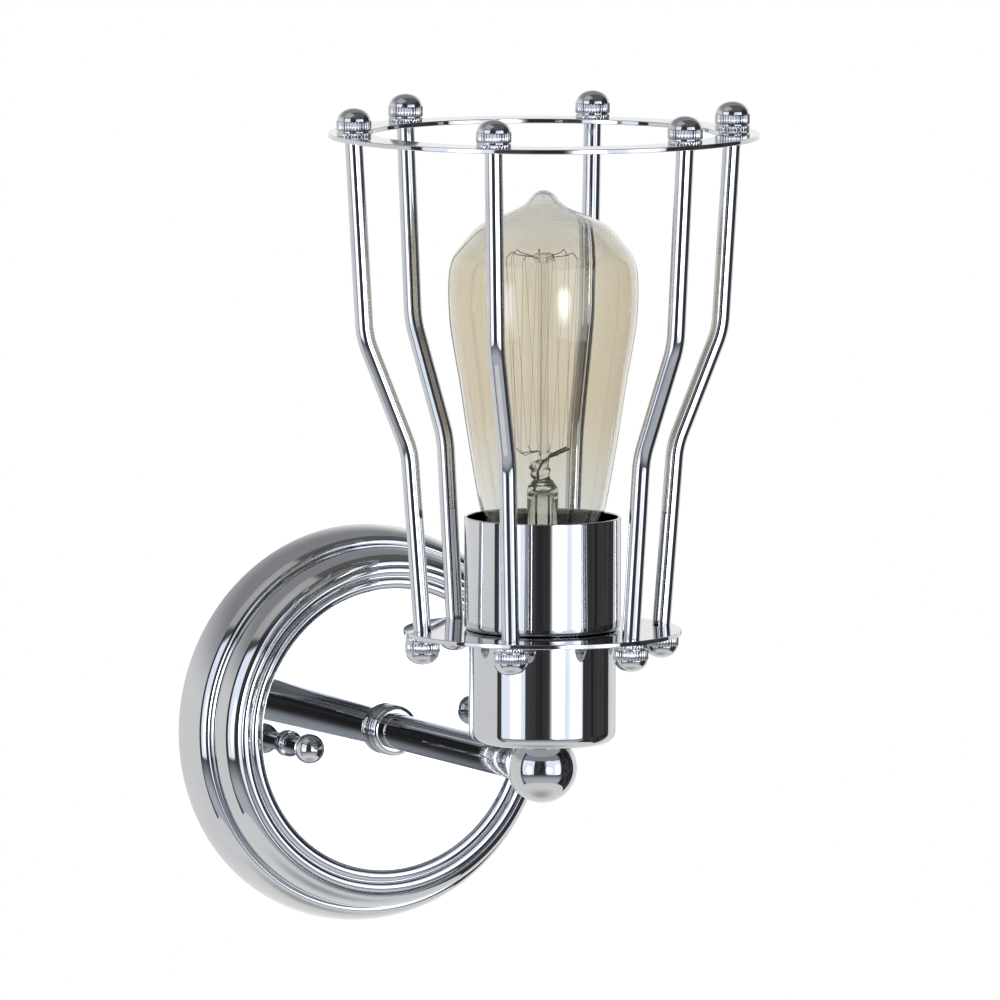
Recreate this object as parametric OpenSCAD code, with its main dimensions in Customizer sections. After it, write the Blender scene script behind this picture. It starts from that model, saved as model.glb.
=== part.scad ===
// Wall light with a six-rod cage round a filament bulb
// The wall is the plane y = 0, the light stands out towards -Y and +Z is up.
// The origin is the centre of the round backplate on the wall.

/* [Backplate] */
// Diameter of the backplate at the wall
plate_d = 123.8; // [118:0.2:130]
// Depth from the wall to the flat face
plate_depth = 22.2; // [20:0.1:26]
// Sheet thickness of the backplate
plate_wall = 1.0; // [0.8:0.05:1.2]
// Radial width of the curved side wall
side_w = 4.4; // [3.6:0.1:5.5]
// Depth from the wall to the front of the side wall
side_depth = 12.9; // [11:0.1:15]
// Radial width of the large roll inside the side wall
roll_w = 5.2; // [4:0.1:6]
// Radial width of each small bead
bead_w = 3.4; // [2.6:0.1:4]
// Height of each small bead over its groove
bead_h = 1.2; // [0.8:0.1:1.6]

/* [Strap] */
// Distance from each canopy stud to the edge of the flat face
stud_inset = 9.275; // [8:0.005:12]
// Turn of the studs about the wall's normal
stud_turn = 4; // [0:0.5:8]
// Length of each box-screw slot, end to end
slot_len = 14.4; // [12:0.1:15]
// Width of each box-screw slot
slot_w = 4.9; // [4.4:0.1:5.4]
// Sheet left beyond each box-screw slot
strap_end = 5.1; // [4:0.1:7]
// Room between the strap's ends and the backplate's wall
strap_room = 8.9; // [7:0.1:12]
// Width of the strap's upright arms
strap_w = 20; // [18:0.5:24]
// Width of the strap's side arms, which hold the studs
wing_w = 26; // [24:0.5:30]
// Distance from each stud to the end of its side arm
wing_end = 8.075; // [7:0.005:10]
// Sheet thickness of the strap
strap_t = 2.0; // [1.6:0.1:2.2]
// Step of the side arms off the wall
wing_step = 4.0; // [3.6:0.1:4.5]

/* [Studs and canopy nuts] */
// Thread diameter of the canopy studs
stud_d = 4.0; // [3.5:0.1:4.4]
// Diameter of the ball on each canopy nut
knob_d = 9.2; // [8:0.1:11]
// Distance from the flat face to the ball's centre
knob_reach = 14.4; // [13:0.1:16]
// Wall of the canopy nut's neck round its stud
neck_wall = 0.7; // [0.6:0.05:1.2]
// Width of the canopy nut's flange round its neck
flange_w = 1.35; // [1:0.05:2]

/* [Arm] */
// Distance from the wall to the cage's axis
arm_reach = 125.4; // [115:0.1:135]
// Radial width of the arm's shoulders over its threads
shoulder_w = 0.55; // [0.45:0.01:1.35]
// Wall of the arm's threaded ends round the leads' bore
tail_wall = 1.4; // [1.2:0.05:1.6]
// Thread diameter at the arm's ends and on the nipple
pipe_thread_d = 10; // [9.6:0.1:10.4]
// Radial width of the collar round the arm
collar_w = 2.3; // [2:0.05:3.4]
// Length of the collar
collar_len = 4.6; // [4:0.1:6]
// Diameter of the ball at the arm's end
ball_d = 21.1; // [20.6:0.1:24]
// Width of the ball's flat seat round the nipple
seat_rim = 1.76; // [1.2:0.02:2.4]

/* [Cups and disc] */
// Room between the porcelain's lower part and the lower cup
cup_room = 3.8; // [3.6:0.1:5]
// Height of the lower cup
cup_h = 32.95; // [31:0.05:36]
// Sheet thickness of the lower cup
cup_wall = 0.9; // [0.8:0.05:1.1]
// Outer corner radius of the lower cup
cup_corner = 3.5; // [2.5:0.1:5]
// Distance from the rods' centres to the lower disc's edge
disc_edge = 4.65; // [4:0.05:7]
// Thickness of the lower disc
disc_t = 1.4; // [1.2:0.1:1.8]
// Room between the clamping ring and the sleeve round it
sleeve_room = 1; // [0.8:0.1:2.3]
// Height of the sleeve
sleeve_h = 34.3; // [30:0.1:38]
// Sheet thickness of the sleeve
sleeve_wall = 0.8; // [0.7:0.05:1]
// Outer corner radius of the sleeve
sleeve_corner = 1.5; // [1.2:0.1:2]

/* [Cage] */
// Outer diameter of the top ring
ring_d = 130.18; // [128:0.02:134]
// Radial width of the top ring
ring_w = 12.5; // [11.5:0.1:14]
// Thickness of the top ring
ring_t = 1.4; // [1.2:0.1:1.8]
// Height from the lower disc's top to the top ring's top
cage_h = 150.75; // [146:0.05:160]
// Diameter of the cage rods
rod_d = 5.4; // [5:0.1:6]
// Radius of the rod circle on the lower disc
rod_low_r = 37.5; // [36.5:0.1:38]
// Distance from the rods' centres to the top ring's outer edge
ring_edge = 5.89; // [5.5:0.01:6.5]
// How far the rods lean out below their lower bend
low_lean = 4.2; // [2.5:0.1:5.5]
// How far the rods lean out above their upper bend
top_lean = 3.5; // [2:0.1:5]
// Height of the lower bend over the lower disc
knee_low_h = 55.1; // [52:0.1:58]
// Height of the upper bend over the lower disc
knee_top_h = 90; // [88:0.1:94]
// Bend radius of the rods' centre line
rod_bend_r = 26; // [20:0.5:30]
// Turn of the first rod from the front
rod_phase = -41.8; // [-60:0.1:0]
// Thread diameter at the rods' ends
rod_thread_d = 4.0; // [3.5:0.1:4.2]
// Diameter of the ball nuts
nut_d = 10.6; // [10:0.1:11.2]
// Height of the ball nuts
nut_h = 8.4; // [8:0.1:10]
// Number of flutes round a ball nut
nut_flutes = 30; // [20:2:36]

/* [Lampholder] */
// Wall of the porcelain's threaded part round its bore
thread_w = 4.6; // [4.2:0.1:5]
// Wall of the porcelain's lower part round its bore
base_w = 3.1; // [2.8:0.1:3.8]
// Height of the porcelain over the lower disc
holder_top_h = 15; // [13:0.1:17]
// Inner diameter of the screw shell
shell_d = 27; // [26.9:0.05:27.2]
// Height of the clamping ring
clamp_h = 5; // [4:0.1:6]

/* [Bulb] */
// Largest diameter of the glass
glass_d = 57.4; // [54:0.1:60]
// Length of the bulb from its contact to the glass tip
bulb_len = 145; // [140:0.1:150]
// Wall thickness of the glass
glass_wall = 0.8; // [0.6:0.05:1]
// Radial play of the bulb's cap in the screw shell
cap_play = 0.45; // [0.4:0.05:0.6]
// Pitch of the cap's screw thread
cap_pitch = 3.63; // [3.5:0.01:3.7]
// Diameter of the glass rod inside the bulb
rod_glass_d = 3.4; // [3:0.1:4]
// Number of filament supports at the top
support_count = 7; // [5:1:9]

/* [Hidden] */
$fn = 96;

// One overrun for all cuts
cut = 1;
// Radial clearance of a screw in its nut or its threaded hole
thread_gap = 0.05;
// Radial clearance of a rod or a wire end in a plain hole
hole_gap = 0.15;
// Gap that keeps a moving piece off its seat
seat_gap = 0.2;

// Backplate values
groove_w = 0.2;
side_lip = 0.9;
side_drop = 0.3;
groove_drop = 0.5;
plate_r = plate_d / 2;
side_in_r = plate_r - side_w;
roll_out_r = side_in_r - side_lip;
roll_in_r = roll_out_r - roll_w;
roll_base = side_depth - side_drop;
roll_top = plate_depth + side_drop;
bead_base = plate_depth - groove_drop;
bead_1_r = roll_in_r - groove_w;
bead_2_r = bead_1_r - bead_w - groove_w;
face_r = bead_2_r - bead_w;
stud_spacing = 2 * (face_r - stud_inset);
stud_hole_gap = 0.4;
curve_steps = 12;

// Strap values
strap_len = plate_d - 2 * (plate_wall + strap_room);
slot_spacing = strap_len - slot_len - 2 * strap_end;
wing_span = stud_spacing + 2 * wing_end;
stud_r = stud_d / 2;
stud_slot_gap = 0.2;
slot_turn = 9;
wing_bend = 5;
wing_flat = 15;
strap_hole_d = 10.6;
ground_x = 0;
ground_z = 21;
ground_d = 4.2;
ground_head_d = 8;
ground_head_h = 2.2;
stud_head_w = 1.8;
stud_head_d = stud_d + 2 * stud_head_w;
stud_head_h = 2.4;
stud_nut_w = 2.35;
stud_nut_across = stud_d + 2 * stud_nut_w;
stud_nut_h = 3.2;
knob_neck_d = stud_d + 2 * neck_wall;
knob_flange_d = knob_neck_d + 2 * flange_w;
stud_in_knob = 8;
knob_flange_h = 1.2;
knob_hole_end = 1;

// Arm values
pipe_r = pipe_thread_d / 2;
arm_d = pipe_thread_d + 2 * shoulder_w;
arm_bore = pipe_thread_d - 2 * tail_wall;
collar_d = arm_d + 2 * collar_w;
washer_t = 0.8;
washer_w = 3.2;
washer_d = pipe_thread_d + 2 * washer_w;
washer_teeth = 12;
washer_notch = 1.3;
pipe_nut_w = 2;
pipe_nut_across = pipe_thread_d + 2 * pipe_nut_w;
pipe_nut_h = 3.2;
arm_tail_over = 2.4;
collar_lip = 1.2;
collar_gap = 0.1;
collar_ridge = 1.3;
collar_groove = 0.5;
collar_groove_w = 0.6;
collar_nose = 1.6;
boss_w = 1.15;
boss_d = arm_d + 2 * boss_w;
boss_out = 0.35;
tail_gap = 0.3;
ball_tail = ball_d / 2 + boss_out - pipe_r - tail_gap;
seat_h = sqrt((ball_d / 2) ^ 2 - (pipe_r + seat_rim) ^ 2);
plate_back = plate_depth - plate_wall;
arm_shoulder = plate_depth + collar_lip;
arm_end = arm_reach - ball_d / 2 - boss_out;

// Sizes that follow from the screw shell outwards
shell_t = 0.35;
shell_bead = 0.4;
holder_bore_gap = 0.15;
holder_bore_r = shell_d / 2 + shell_t + shell_bead + holder_bore_gap;
holder_base_d = 2 * (holder_bore_r + base_w);
holder_thread_d = 2 * (holder_bore_r + thread_w);
cup_d = holder_base_d + 2 * (cup_room + cup_wall);
flange_gap = 0.9;
holder_flange_d = cup_d - 2 * (cup_wall + flange_gap);
clamp_w = 2.9;
clamp_d = holder_thread_d + 2 * clamp_w;
sleeve_d = clamp_d + 2 * (sleeve_room + sleeve_wall);
disc_d = 2 * (rod_low_r + disc_edge);
rod_top_r = ring_d / 2 - ring_edge;
knee_low_r = rod_low_r + low_lean;
knee_top_r = rod_top_r - top_lean;

// Heights along the cage's axis
cup_floor = seat_h + cup_wall;
disc_low = seat_h + cup_h;
disc_top = disc_low + disc_t;
sleeve_top = disc_top + sleeve_h;
ring_top = disc_top + cage_h;
ring_low = ring_top - ring_t;
cup_r = cup_d / 2;

// Lampholder values
bracket_t = 1.2;
bracket_side = 1;
bracket_w = pipe_thread_d + 2 * bracket_side;
bracket_inset = 5.5;
bracket_span = holder_base_d - 2 * bracket_inset;
bracket_h = 10;
nipple_over = 1;
bracket_screw_d = 3;
bracket_screw_head_d = 5.4;
bracket_screw_head_h = 1.8;
bracket_screw_in = 6;
head_gap = 0.1;
bracket_foot = bracket_t + bracket_screw_head_d + 2 * head_gap;
bracket_screw_x = bracket_span / 2 - bracket_t - head_gap - bracket_screw_head_d / 2;
holder_flange_h = 3;
holder_low = cup_floor + bracket_h;
holder_top = disc_top + holder_top_h;
holder_floor_h = 9.2;
holder_floor = holder_low + holder_floor_h;
holder_corner = 1;
shell_beads = 4;
shell_pitch = 4.6;
shell_low_gap = 0.1;
shell_recess = 4;
shell_floor_d = 12;
disc_hole_gap = 0.3;
clamp_notches = 12;
clamp_notch_d = 3;
contact_w = 6;
contact_t = 0.5;
contact_rise = 2.3;
contact_foot = 7;
contact_rivet_d = 3;
contact_rivet_h = 0.9;
terminal_h = 5.6;
terminal_z = holder_low + terminal_h;
terminal_d = 3;
terminal_head_d = 6;
terminal_head_h = 1.9;
terminal_in = 7;

// Lead values
wire_d = 2.2;
wire_r = wire_d / 2;
wire_x = 1.35;
wire_ball_bend = 3;
wire_cup_bend = 2.2;
wire_canopy_bend = 4;
wire_back = 8;
wire_drop = 26;
wire_rise = 0.2;
wire_stand = 0.75;
wire_run_r = holder_base_d / 2 + wire_r + wire_stand;
nipple_gap = 1;
nipple_in = seat_h - wire_r - nipple_gap;
arm_tail_back = plate_back - washer_t - pipe_nut_h - arm_tail_over;

// Cage values
rod_r = rod_d / 2;
rod_count = 6;
rod_tail = 4.4;
rod_sides = 20;
bend_steps = 5;
knurl_d_share = 0.955;
nut_base_share = 0.14;
nut_groove_share = 0.05;
nut_band_share = 0.36;
nut_root_share = 0.95;
nut_base_d_share = 0.98;
nut_groove_d_share = 0.93;
nut_hole_over = 0.6;

// Bulb values
bulb_low = holder_floor + contact_rise + seat_gap;
bulb_top = bulb_low + bulb_len;
contact_d = 9.5;
contact_h = 1.6;
insulator_h = 3.4;
insulator_low_d = 11;
cap_sheet = 0.35;
cap_groove = 0.75;
cap_d = shell_d - 2 * cap_play;
skirt_step = 0.25;
cap_skirt_d = cap_d - 2 * skirt_step;
cap_low = bulb_low + contact_h + insulator_h;
insulator_in = 1.55;
insulator_d = cap_d - 2 * insulator_in;
cap_h = 22.6;
cap_turns = 4;
cap_sides = 24;
cap_rows_per_turn = 6;
cap_seal = 0.1;
cap_start_h = 1.5;
cap_top = cap_low + cap_h;
neck_in = 5;
neck_r = cap_skirt_d / 2 - cap_sheet - cap_seal;
glass_h = bulb_top - cap_top;
glass_steps = 4;
// Lower outline of the glass: shares of the way out from the neck to the largest radius, and of the height
low_glass_shares = [
    [0.0697, 0.03], [0.1662, 0.075], [0.3944, 0.174], [0.6051, 0.335],
    [0.7859, 0.50], [0.8771, 0.572], [0.9754, 0.662], [1, 0.756]
];
// Upper outline of the glass up to the tip: shares of the largest radius and of the height
top_glass_shares = [
    [0.972, 0.815], [0.89, 0.85], [0.69, 0.906], [0.51, 0.929], [0.39, 0.941],
    [0.285, 0.952], [0.19, 0.968], [0.1, 0.988], [0, 1]
];
flare_gap = 0.55;
stem_flare_r = neck_r - glass_wall - flare_gap;
stem_flare_h = 11;
stem_d = 9.5;
stem_wall = 0.9;
stem_h = 56.5;
stem_top = bulb_low + stem_h;
press_w = 6.9;
press_t = 3.8;
press_h = 7;
stem_low = cap_top - neck_in;
rod_glass_drop = 19;
rod_glass_top = bulb_top - rod_glass_drop;
button_d = 6.4;
button_h = 2.6;
support_top_r = 11.5;
support_low_r = 8.5;
support_d = 0.3;
support_tip = 1.6;
support_low_h = 9.4;
support_low_z = stem_top + support_low_h;
support_turn = 330;
support_gap = 0.05;
filament_d = 0.24;
filament_loop = 0.9;
wire_sides = 6;
lead_in_d = 0.7;
lead_in_x = (rod_glass_d + lead_in_d) / 2 + support_gap;
lead_in_foot = 20;

function unit(v) = v / norm(v);

// Smooth curve between the middle two of four points
function curve_at(a, b, c, d, t) =
    (2 * b + (c - a) * t + (2 * a - 5 * b + 4 * c - d) * t * t + (3 * b - a - 3 * c + d) * t * t * t) / 2;

// Smooth path through all points of a list
function smooth_path(p, steps) = [
    for (i = [0 : len(p) - 2])
        for (k = [0 : steps - 1])
            curve_at(p[max(i - 1, 0)], p[i], p[i + 1], p[min(i + 2, len(p) - 1)], k / steps),
    p[len(p) - 1]
];

// Inward normal of an outline that climbs on the +X side
function inward(p, i) =
    let (t = unit(p[min(i + 1, len(p) - 1)] - p[max(i - 1, 0)])) [-t.y, t.x];

// Quarter ellipse from its outermost to its highest point
function quarter(x, y, w, h) = [
    for (i = [0 : curve_steps])
        [x + w * cos(90 * i / curve_steps), y + h * sin(90 * i / curve_steps)]
];

// Half ellipse from its outer to its inner foot
function bead(x, y, w, h) = [
    for (i = [0 : curve_steps])
        [x - w / 2 + w / 2 * cos(180 * i / curve_steps), y + h * sin(180 * i / curve_steps)]
];

function rod_angle(k) = rod_phase - 90 + 360 * k / rod_count;

// Turns +Z into the direction out of the wall
module out_of_wall() {
    rotate([90, 0, 0]) children();
}

// Moves to the cage's axis
module on_cage_axis() {
    translate([0, -arm_reach, 0]) children();
}

module ring_of(h, outer_r, inner_r) {
    difference() {
        cylinder(h = h, r = outer_r);
        translate([0, 0, -cut]) cylinder(h = h + 2 * cut, r = inner_r);
    }
}

// Hexagonal nut, measured across its flats
module hex_nut(across, h, hole_r) {
    difference() {
        cylinder(h = h, r = across / 2 / cos(30), $fn = 6);
        translate([0, 0, -cut]) cylinder(h = h + 2 * cut, r = hole_r);
    }
}

// Half outline of a cup with a round corner at its foot
module cup_outline(r, h, corner) {
    translate([0, corner]) square([r, h - corner]);
    square([r - corner, h]);
    translate([r - corner, corner]) circle(r = corner);
}

// Cup with a hole in its floor
module sheet_cup(r, h, wall, corner, hole_r) {
    difference() {
        rotate_extrude() cup_outline(r, h, corner);
        translate([0, 0, wall]) rotate_extrude() cup_outline(r - wall, h + cut, corner - wall);
        translate([0, 0, -cut]) cylinder(h = wall + 2 * cut, r = hole_r);
    }
}

// Ring of points round a path, on the plane across t, widened where the path leaves it at a slant
function sweep_ring(p, t, along, ref, r, sides) =
    let (u = unit(cross(t, ref)), v = cross(t, u))
    [for (k = [0 : sides - 1]) p + r * (u * cos(360 * k / sides) / (t * along) + v * sin(360 * k / sides))];

// Heading of a path's stretch after a point
function heading(p, i) = unit(p[min(i, len(p) - 2) + 1] - p[min(i, len(p) - 2)]);

// Round wire swept along a list of points, with mitred corners
// Each point has a reference direction square to the path, and the end planes can be given
module swept(p, refs, r, sides, first = undef, last = undef) {
    n = len(p);
    rings = [
        for (i = [0 : n - 1])
            let (
                before = heading(p, max(i - 1, 0)),
                across = i == 0 && first != undef ? first
                    : i == n - 1 && last != undef ? last
                    : unit(before + heading(p, i))
            )
            each sweep_ring(p[i], across, before, refs[i], r, sides)
    ];
    end = (n - 1) * sides;
    polyhedron(
        points = rings,
        faces = concat(
            [
                for (i = [0 : n - 2]) for (k = [0 : sides - 1])
                    [i * sides + k, (i + 1) * sides + k, (i + 1) * sides + (k + 1) % sides]
            ],
            [
                for (i = [0 : n - 2]) for (k = [0 : sides - 1])
                    [i * sides + k, (i + 1) * sides + (k + 1) % sides, i * sides + (k + 1) % sides]
            ],
            [for (k = [1 : sides - 2]) [0, k, k + 1]],
            [for (k = [1 : sides - 2]) [end, end + k + 1, end + k]]
        )
    );
}

// Stepped shell, open towards the wall
module backplate() {
    outer = concat(
        quarter(side_in_r, 0, side_w, side_depth),
        quarter(roll_in_r, roll_base, roll_w, roll_top - roll_base),
        bead(bead_1_r, bead_base, bead_w, bead_h),
        bead(bead_2_r, bead_base, bead_w, bead_h),
        [[face_r, plate_depth], [0, plate_depth]]
    );
    inner = concat(
        quarter(side_in_r, 0, side_w - plate_wall, side_depth - plate_wall),
        quarter(roll_in_r, roll_base - plate_wall, roll_w - plate_wall, roll_top - roll_base),
        [[bead_1_r, bead_base - plate_wall], [face_r, bead_base - plate_wall]],
        [[face_r, plate_back], [0, plate_back]]
    );
    color([0.78, 0.79, 0.8])
        out_of_wall()
            difference() {
                rotate_extrude()
                    polygon(concat(outer, [for (i = [len(inner) - 1 : -1 : 0]) inner[i]]));
                translate([0, 0, plate_back - cut])
                    cylinder(h = plate_wall + 2 * cut, r = pipe_r + hole_gap);
                for (side = [0, 180])
                    rotate([0, 0, stud_turn + side])
                        translate([stud_spacing / 2, 0, plate_back - cut])
                            cylinder(h = plate_wall + 2 * cut, r = stud_r + stud_hole_gap);
            }
}

// Plan of a strap arm with round ends
module strap_arm(length, width, h) {
    end = length / 2 - width / 2;
    translate([-end, -width / 2, 0]) cube([2 * end, width, h]);
    for (x = [-end, end]) translate([x, 0, 0]) cylinder(h = h, d = width);
}

// Side arms, stepped off the wall so that the stud heads clear it
module stepped_wings() {
    flat = wing_flat;
    up = wing_flat + wing_bend;
    far = wing_span / 2 + cut;
    intersection() {
        rotate([90, 0, 0])
            translate([0, 0, -wing_w / 2])
                linear_extrude(wing_w)
                    polygon([
                        [-far, wing_step], [-up, wing_step], [-flat, 0], [flat, 0], [up, wing_step],
                        [far, wing_step], [far, wing_step + strap_t], [up, wing_step + strap_t],
                        [flat, strap_t], [-flat, strap_t], [-up, wing_step + strap_t],
                        [-far, wing_step + strap_t]
                    ]);
        strap_arm(wing_span, wing_w, wing_step + strap_t);
    }
}

// Curved slot that lets a stud swing about the plate's centre
module stud_slot() {
    slot_r = stud_r + stud_slot_gap;
    high = wing_step + strap_t + 2 * cut;
    rotate([0, 0, -slot_turn])
        rotate_extrude(angle = 2 * slot_turn)
            translate([stud_spacing / 2 - slot_r, 0])
                square([2 * slot_r, high]);
    for (turn = [-slot_turn, slot_turn])
        rotate([0, 0, turn])
            translate([stud_spacing / 2, 0, 0])
                cylinder(h = high, r = slot_r);
}

module mounting_strap() {
    slot_end = (slot_len - slot_w) / 2;
    color([0.72, 0.72, 0.68])
        out_of_wall()
            difference() {
                union() {
                    rotate([0, 0, 90]) strap_arm(strap_len, strap_w, strap_t);
                    stepped_wings();
                }
                translate([0, 0, -cut]) cylinder(h = strap_t + 2 * cut, d = strap_hole_d);
                translate([ground_x, ground_z, -cut])
                    cylinder(h = strap_t + 2 * cut, r = ground_d / 2 + thread_gap);
                for (side = [0, 180])
                    rotate([0, 0, side]) translate([0, 0, -cut]) stud_slot();
                for (z = [-slot_spacing / 2, slot_spacing / 2])
                    translate([0, z, -cut]) {
                        translate([-slot_w / 2, -slot_end, 0])
                            cube([slot_w, 2 * slot_end, strap_t + 2 * cut]);
                        for (y = [-slot_end, slot_end])
                            translate([0, y, 0]) cylinder(h = strap_t + 2 * cut, d = slot_w);
                    }
            }
}

// Places its children at both studs, on the line that leaves the wall
module at_studs() {
    out_of_wall()
        for (side = [0, 180])
            rotate([0, 0, stud_turn + side])
                translate([stud_spacing / 2, 0, 0])
                    children();
}

module mounting_studs() {
    color([0.8, 0.8, 0.78])
        at_studs() {
            translate([0, 0, wing_step - stud_head_h]) cylinder(h = stud_head_h, d = stud_head_d);
            translate([0, 0, wing_step - stud_head_h])
                cylinder(h = plate_depth + stud_in_knob - wing_step + stud_head_h, r = stud_r);
        }
}

module stud_nuts() {
    color([0.75, 0.75, 0.72])
        at_studs()
            translate([0, 0, wing_step + strap_t])
                hex_nut(stud_nut_across, stud_nut_h, stud_r + thread_gap);
}

module ground_screw() {
    color([0.15, 0.5, 0.25])
        out_of_wall()
            translate([ground_x, ground_z, 0]) {
                cylinder(h = strap_t + ground_head_h, d = ground_d);
                difference() {
                    translate([0, 0, strap_t]) cylinder(h = ground_head_h, d = ground_head_d);
                    translate([-ground_head_d, -ground_d / 8, strap_t + ground_head_h / 2])
                        cube([2 * ground_head_d, ground_d / 4, ground_head_h]);
                }
            }
}

module arm_locknut() {
    color([0.75, 0.72, 0.6])
        out_of_wall()
            translate([0, 0, plate_back - washer_t - pipe_nut_h])
                hex_nut(pipe_nut_across, pipe_nut_h, pipe_r + thread_gap);
}

// Lock washer with teeth round its rim
module arm_washer() {
    color([0.7, 0.7, 0.68])
        out_of_wall()
            translate([0, 0, plate_back - washer_t])
                difference() {
                    ring_of(washer_t, washer_d / 2, pipe_r + hole_gap);
                    for (k = [0 : washer_teeth - 1])
                        rotate([0, 0, 360 * k / washer_teeth])
                            translate([washer_d / 2, 0, -cut])
                                cylinder(h = washer_t + 2 * cut, r = washer_notch);
                }
}

// Ridged collar with an inner lip that the arm's shoulder clamps
module arm_collar() {
    ridge_r = collar_d / 2;
    groove_r = ridge_r - collar_groove;
    nose_r = ridge_r - collar_nose;
    ridge_2 = collar_ridge + collar_groove_w;
    nose = ridge_2 + collar_ridge;
    color([0.8, 0.8, 0.82])
        out_of_wall()
            translate([0, 0, plate_depth])
                difference() {
                    rotate_extrude()
                        polygon(concat(
                            [[0, 0], [ridge_r, 0], [ridge_r, collar_ridge], [groove_r, collar_ridge]],
                            [[groove_r, ridge_2], [ridge_r, ridge_2]],
                            quarter(nose_r, nose, collar_nose, collar_len - nose),
                            [[0, collar_len]]
                        ));
                    translate([0, 0, -cut]) cylinder(h = collar_len + 2 * cut, r = pipe_r + hole_gap);
                    translate([0, 0, collar_lip])
                        cylinder(h = collar_len + cut, r = arm_d / 2 + collar_gap);
                }
}

// Tube with a reduced threaded tail at each end
module arm_tube() {
    tail_start = arm_tail_back;
    tail_end = arm_end + ball_tail;
    color([0.78, 0.79, 0.8])
        out_of_wall()
            difference() {
                union() {
                    translate([0, 0, arm_shoulder]) cylinder(h = arm_end - arm_shoulder, d = arm_d);
                    translate([0, 0, tail_start]) cylinder(h = tail_end - tail_start, r = pipe_r);
                }
                translate([0, 0, tail_start - cut])
                    cylinder(h = tail_end - tail_start + 2 * cut, d = arm_bore);
            }
}

// Ball with a seat for the cup, a boss for the arm and a wire way round the corner
module arm_end_ball() {
    color([0.8, 0.8, 0.82])
        on_cage_axis()
            difference() {
                union() {
                    intersection() {
                        sphere(d = ball_d);
                        translate([0, 0, seat_h - ball_d])
                            cylinder(h = ball_d, d = ball_d + cut);
                    }
                    rotate([-90, 0, 0]) cylinder(h = ball_d / 2 + boss_out, d = boss_d);
                }
                translate([0, ball_d / 2 + boss_out - ball_tail, 0])
                    rotate([-90, 0, 0]) cylinder(h = ball_tail + cut, r = pipe_r + thread_gap);
                rotate([-90, 0, 0]) cylinder(h = ball_d / 2, d = arm_bore);
                translate([0, 0, seat_h - nipple_in])
                    cylinder(h = nipple_in + cut, r = pipe_r + thread_gap);
                translate([0, 0, -arm_bore / 2]) cylinder(h = seat_h, d = arm_bore);
            }
}

// Hollow threaded nipple from the ball into the cup
module cup_nipple() {
    nipple_top = cup_floor + bracket_t + pipe_nut_h + nipple_over;
    color([0.75, 0.72, 0.6])
        on_cage_axis()
            translate([0, 0, seat_h - nipple_in])
                ring_of(nipple_top - seat_h + nipple_in, pipe_r, arm_bore / 2);
}

module cup_locknut() {
    color([0.75, 0.72, 0.6])
        on_cage_axis()
            translate([0, 0, cup_floor + bracket_t])
                hex_nut(pipe_nut_across, pipe_nut_h, pipe_r + thread_gap);
}

module socket_cup() {
    color([0.8, 0.8, 0.82])
        on_cage_axis()
            translate([0, 0, seat_h])
                sheet_cup(cup_r, cup_h, cup_wall, cup_corner, pipe_r + hole_gap);
}

// Bent strip that carries the porcelain over the cup's floor
module socket_bracket() {
    half = bracket_span / 2;
    color([0.72, 0.72, 0.68])
        on_cage_axis()
            translate([0, 0, cup_floor])
                difference() {
                    translate([0, bracket_w / 2, 0])
                        rotate([90, 0, 0])
                            linear_extrude(bracket_w)
                                difference() {
                                    translate([-half, 0]) square([bracket_span, bracket_h]);
                                    translate([bracket_t - half, bracket_t])
                                        square([bracket_span - 2 * bracket_t, bracket_h - 2 * bracket_t]);
                                    translate([bracket_foot - half, bracket_t])
                                        square([bracket_span - 2 * bracket_foot, bracket_h]);
                                }
                    translate([0, 0, -cut]) cylinder(h = bracket_t + 2 * cut, r = pipe_r + hole_gap);
                    for (x = [-bracket_screw_x, bracket_screw_x])
                        translate([x, 0, bracket_h - bracket_t - cut])
                            cylinder(h = bracket_t + 2 * cut, r = bracket_screw_d / 2 + hole_gap);
                }
}

module bracket_screws() {
    color([0.75, 0.75, 0.72])
        on_cage_axis()
            for (x = [-bracket_screw_x, bracket_screw_x])
                translate([x, 0, holder_low - bracket_t - bracket_screw_head_h]) {
                    cylinder(h = bracket_screw_head_h, d = bracket_screw_head_d);
                    cylinder(
                        h = bracket_screw_head_h + bracket_t + bracket_screw_in,
                        d = bracket_screw_d
                    );
                }
}

// Porcelain with an outer thread for the clamping ring
module socket_body() {
    color([0.93, 0.92, 0.88])
        on_cage_axis()
            difference() {
                union() {
                    translate([0, 0, holder_low])
                        cylinder(h = disc_low - holder_low, d = holder_base_d);
                    translate([0, 0, disc_low - holder_flange_h])
                        cylinder(h = holder_flange_h, d = holder_flange_d);
                    translate([0, 0, disc_low])
                        cylinder(h = holder_top - holder_corner - disc_low, d = holder_thread_d);
                    translate([0, 0, holder_top - holder_corner])
                        cylinder(
                            h = holder_corner,
                            d1 = holder_thread_d,
                            d2 = holder_thread_d - 2 * holder_corner
                        );
                }
                translate([0, 0, holder_floor])
                    cylinder(h = holder_top - holder_floor + cut, r = holder_bore_r);
                for (x = [-bracket_screw_x, bracket_screw_x])
                    translate([x, 0, holder_low - cut])
                        cylinder(
                            h = bracket_screw_in + thread_gap + cut,
                            r = bracket_screw_d / 2 + thread_gap
                        );
                for (side = [-1, 1])
                    translate([-side * wire_x, side * (holder_base_d / 2 + cut), terminal_z])
                        rotate([side * 90, 0, 0])
                            cylinder(h = terminal_in + cut, r = terminal_d / 2 + thread_gap);
            }
}

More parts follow.
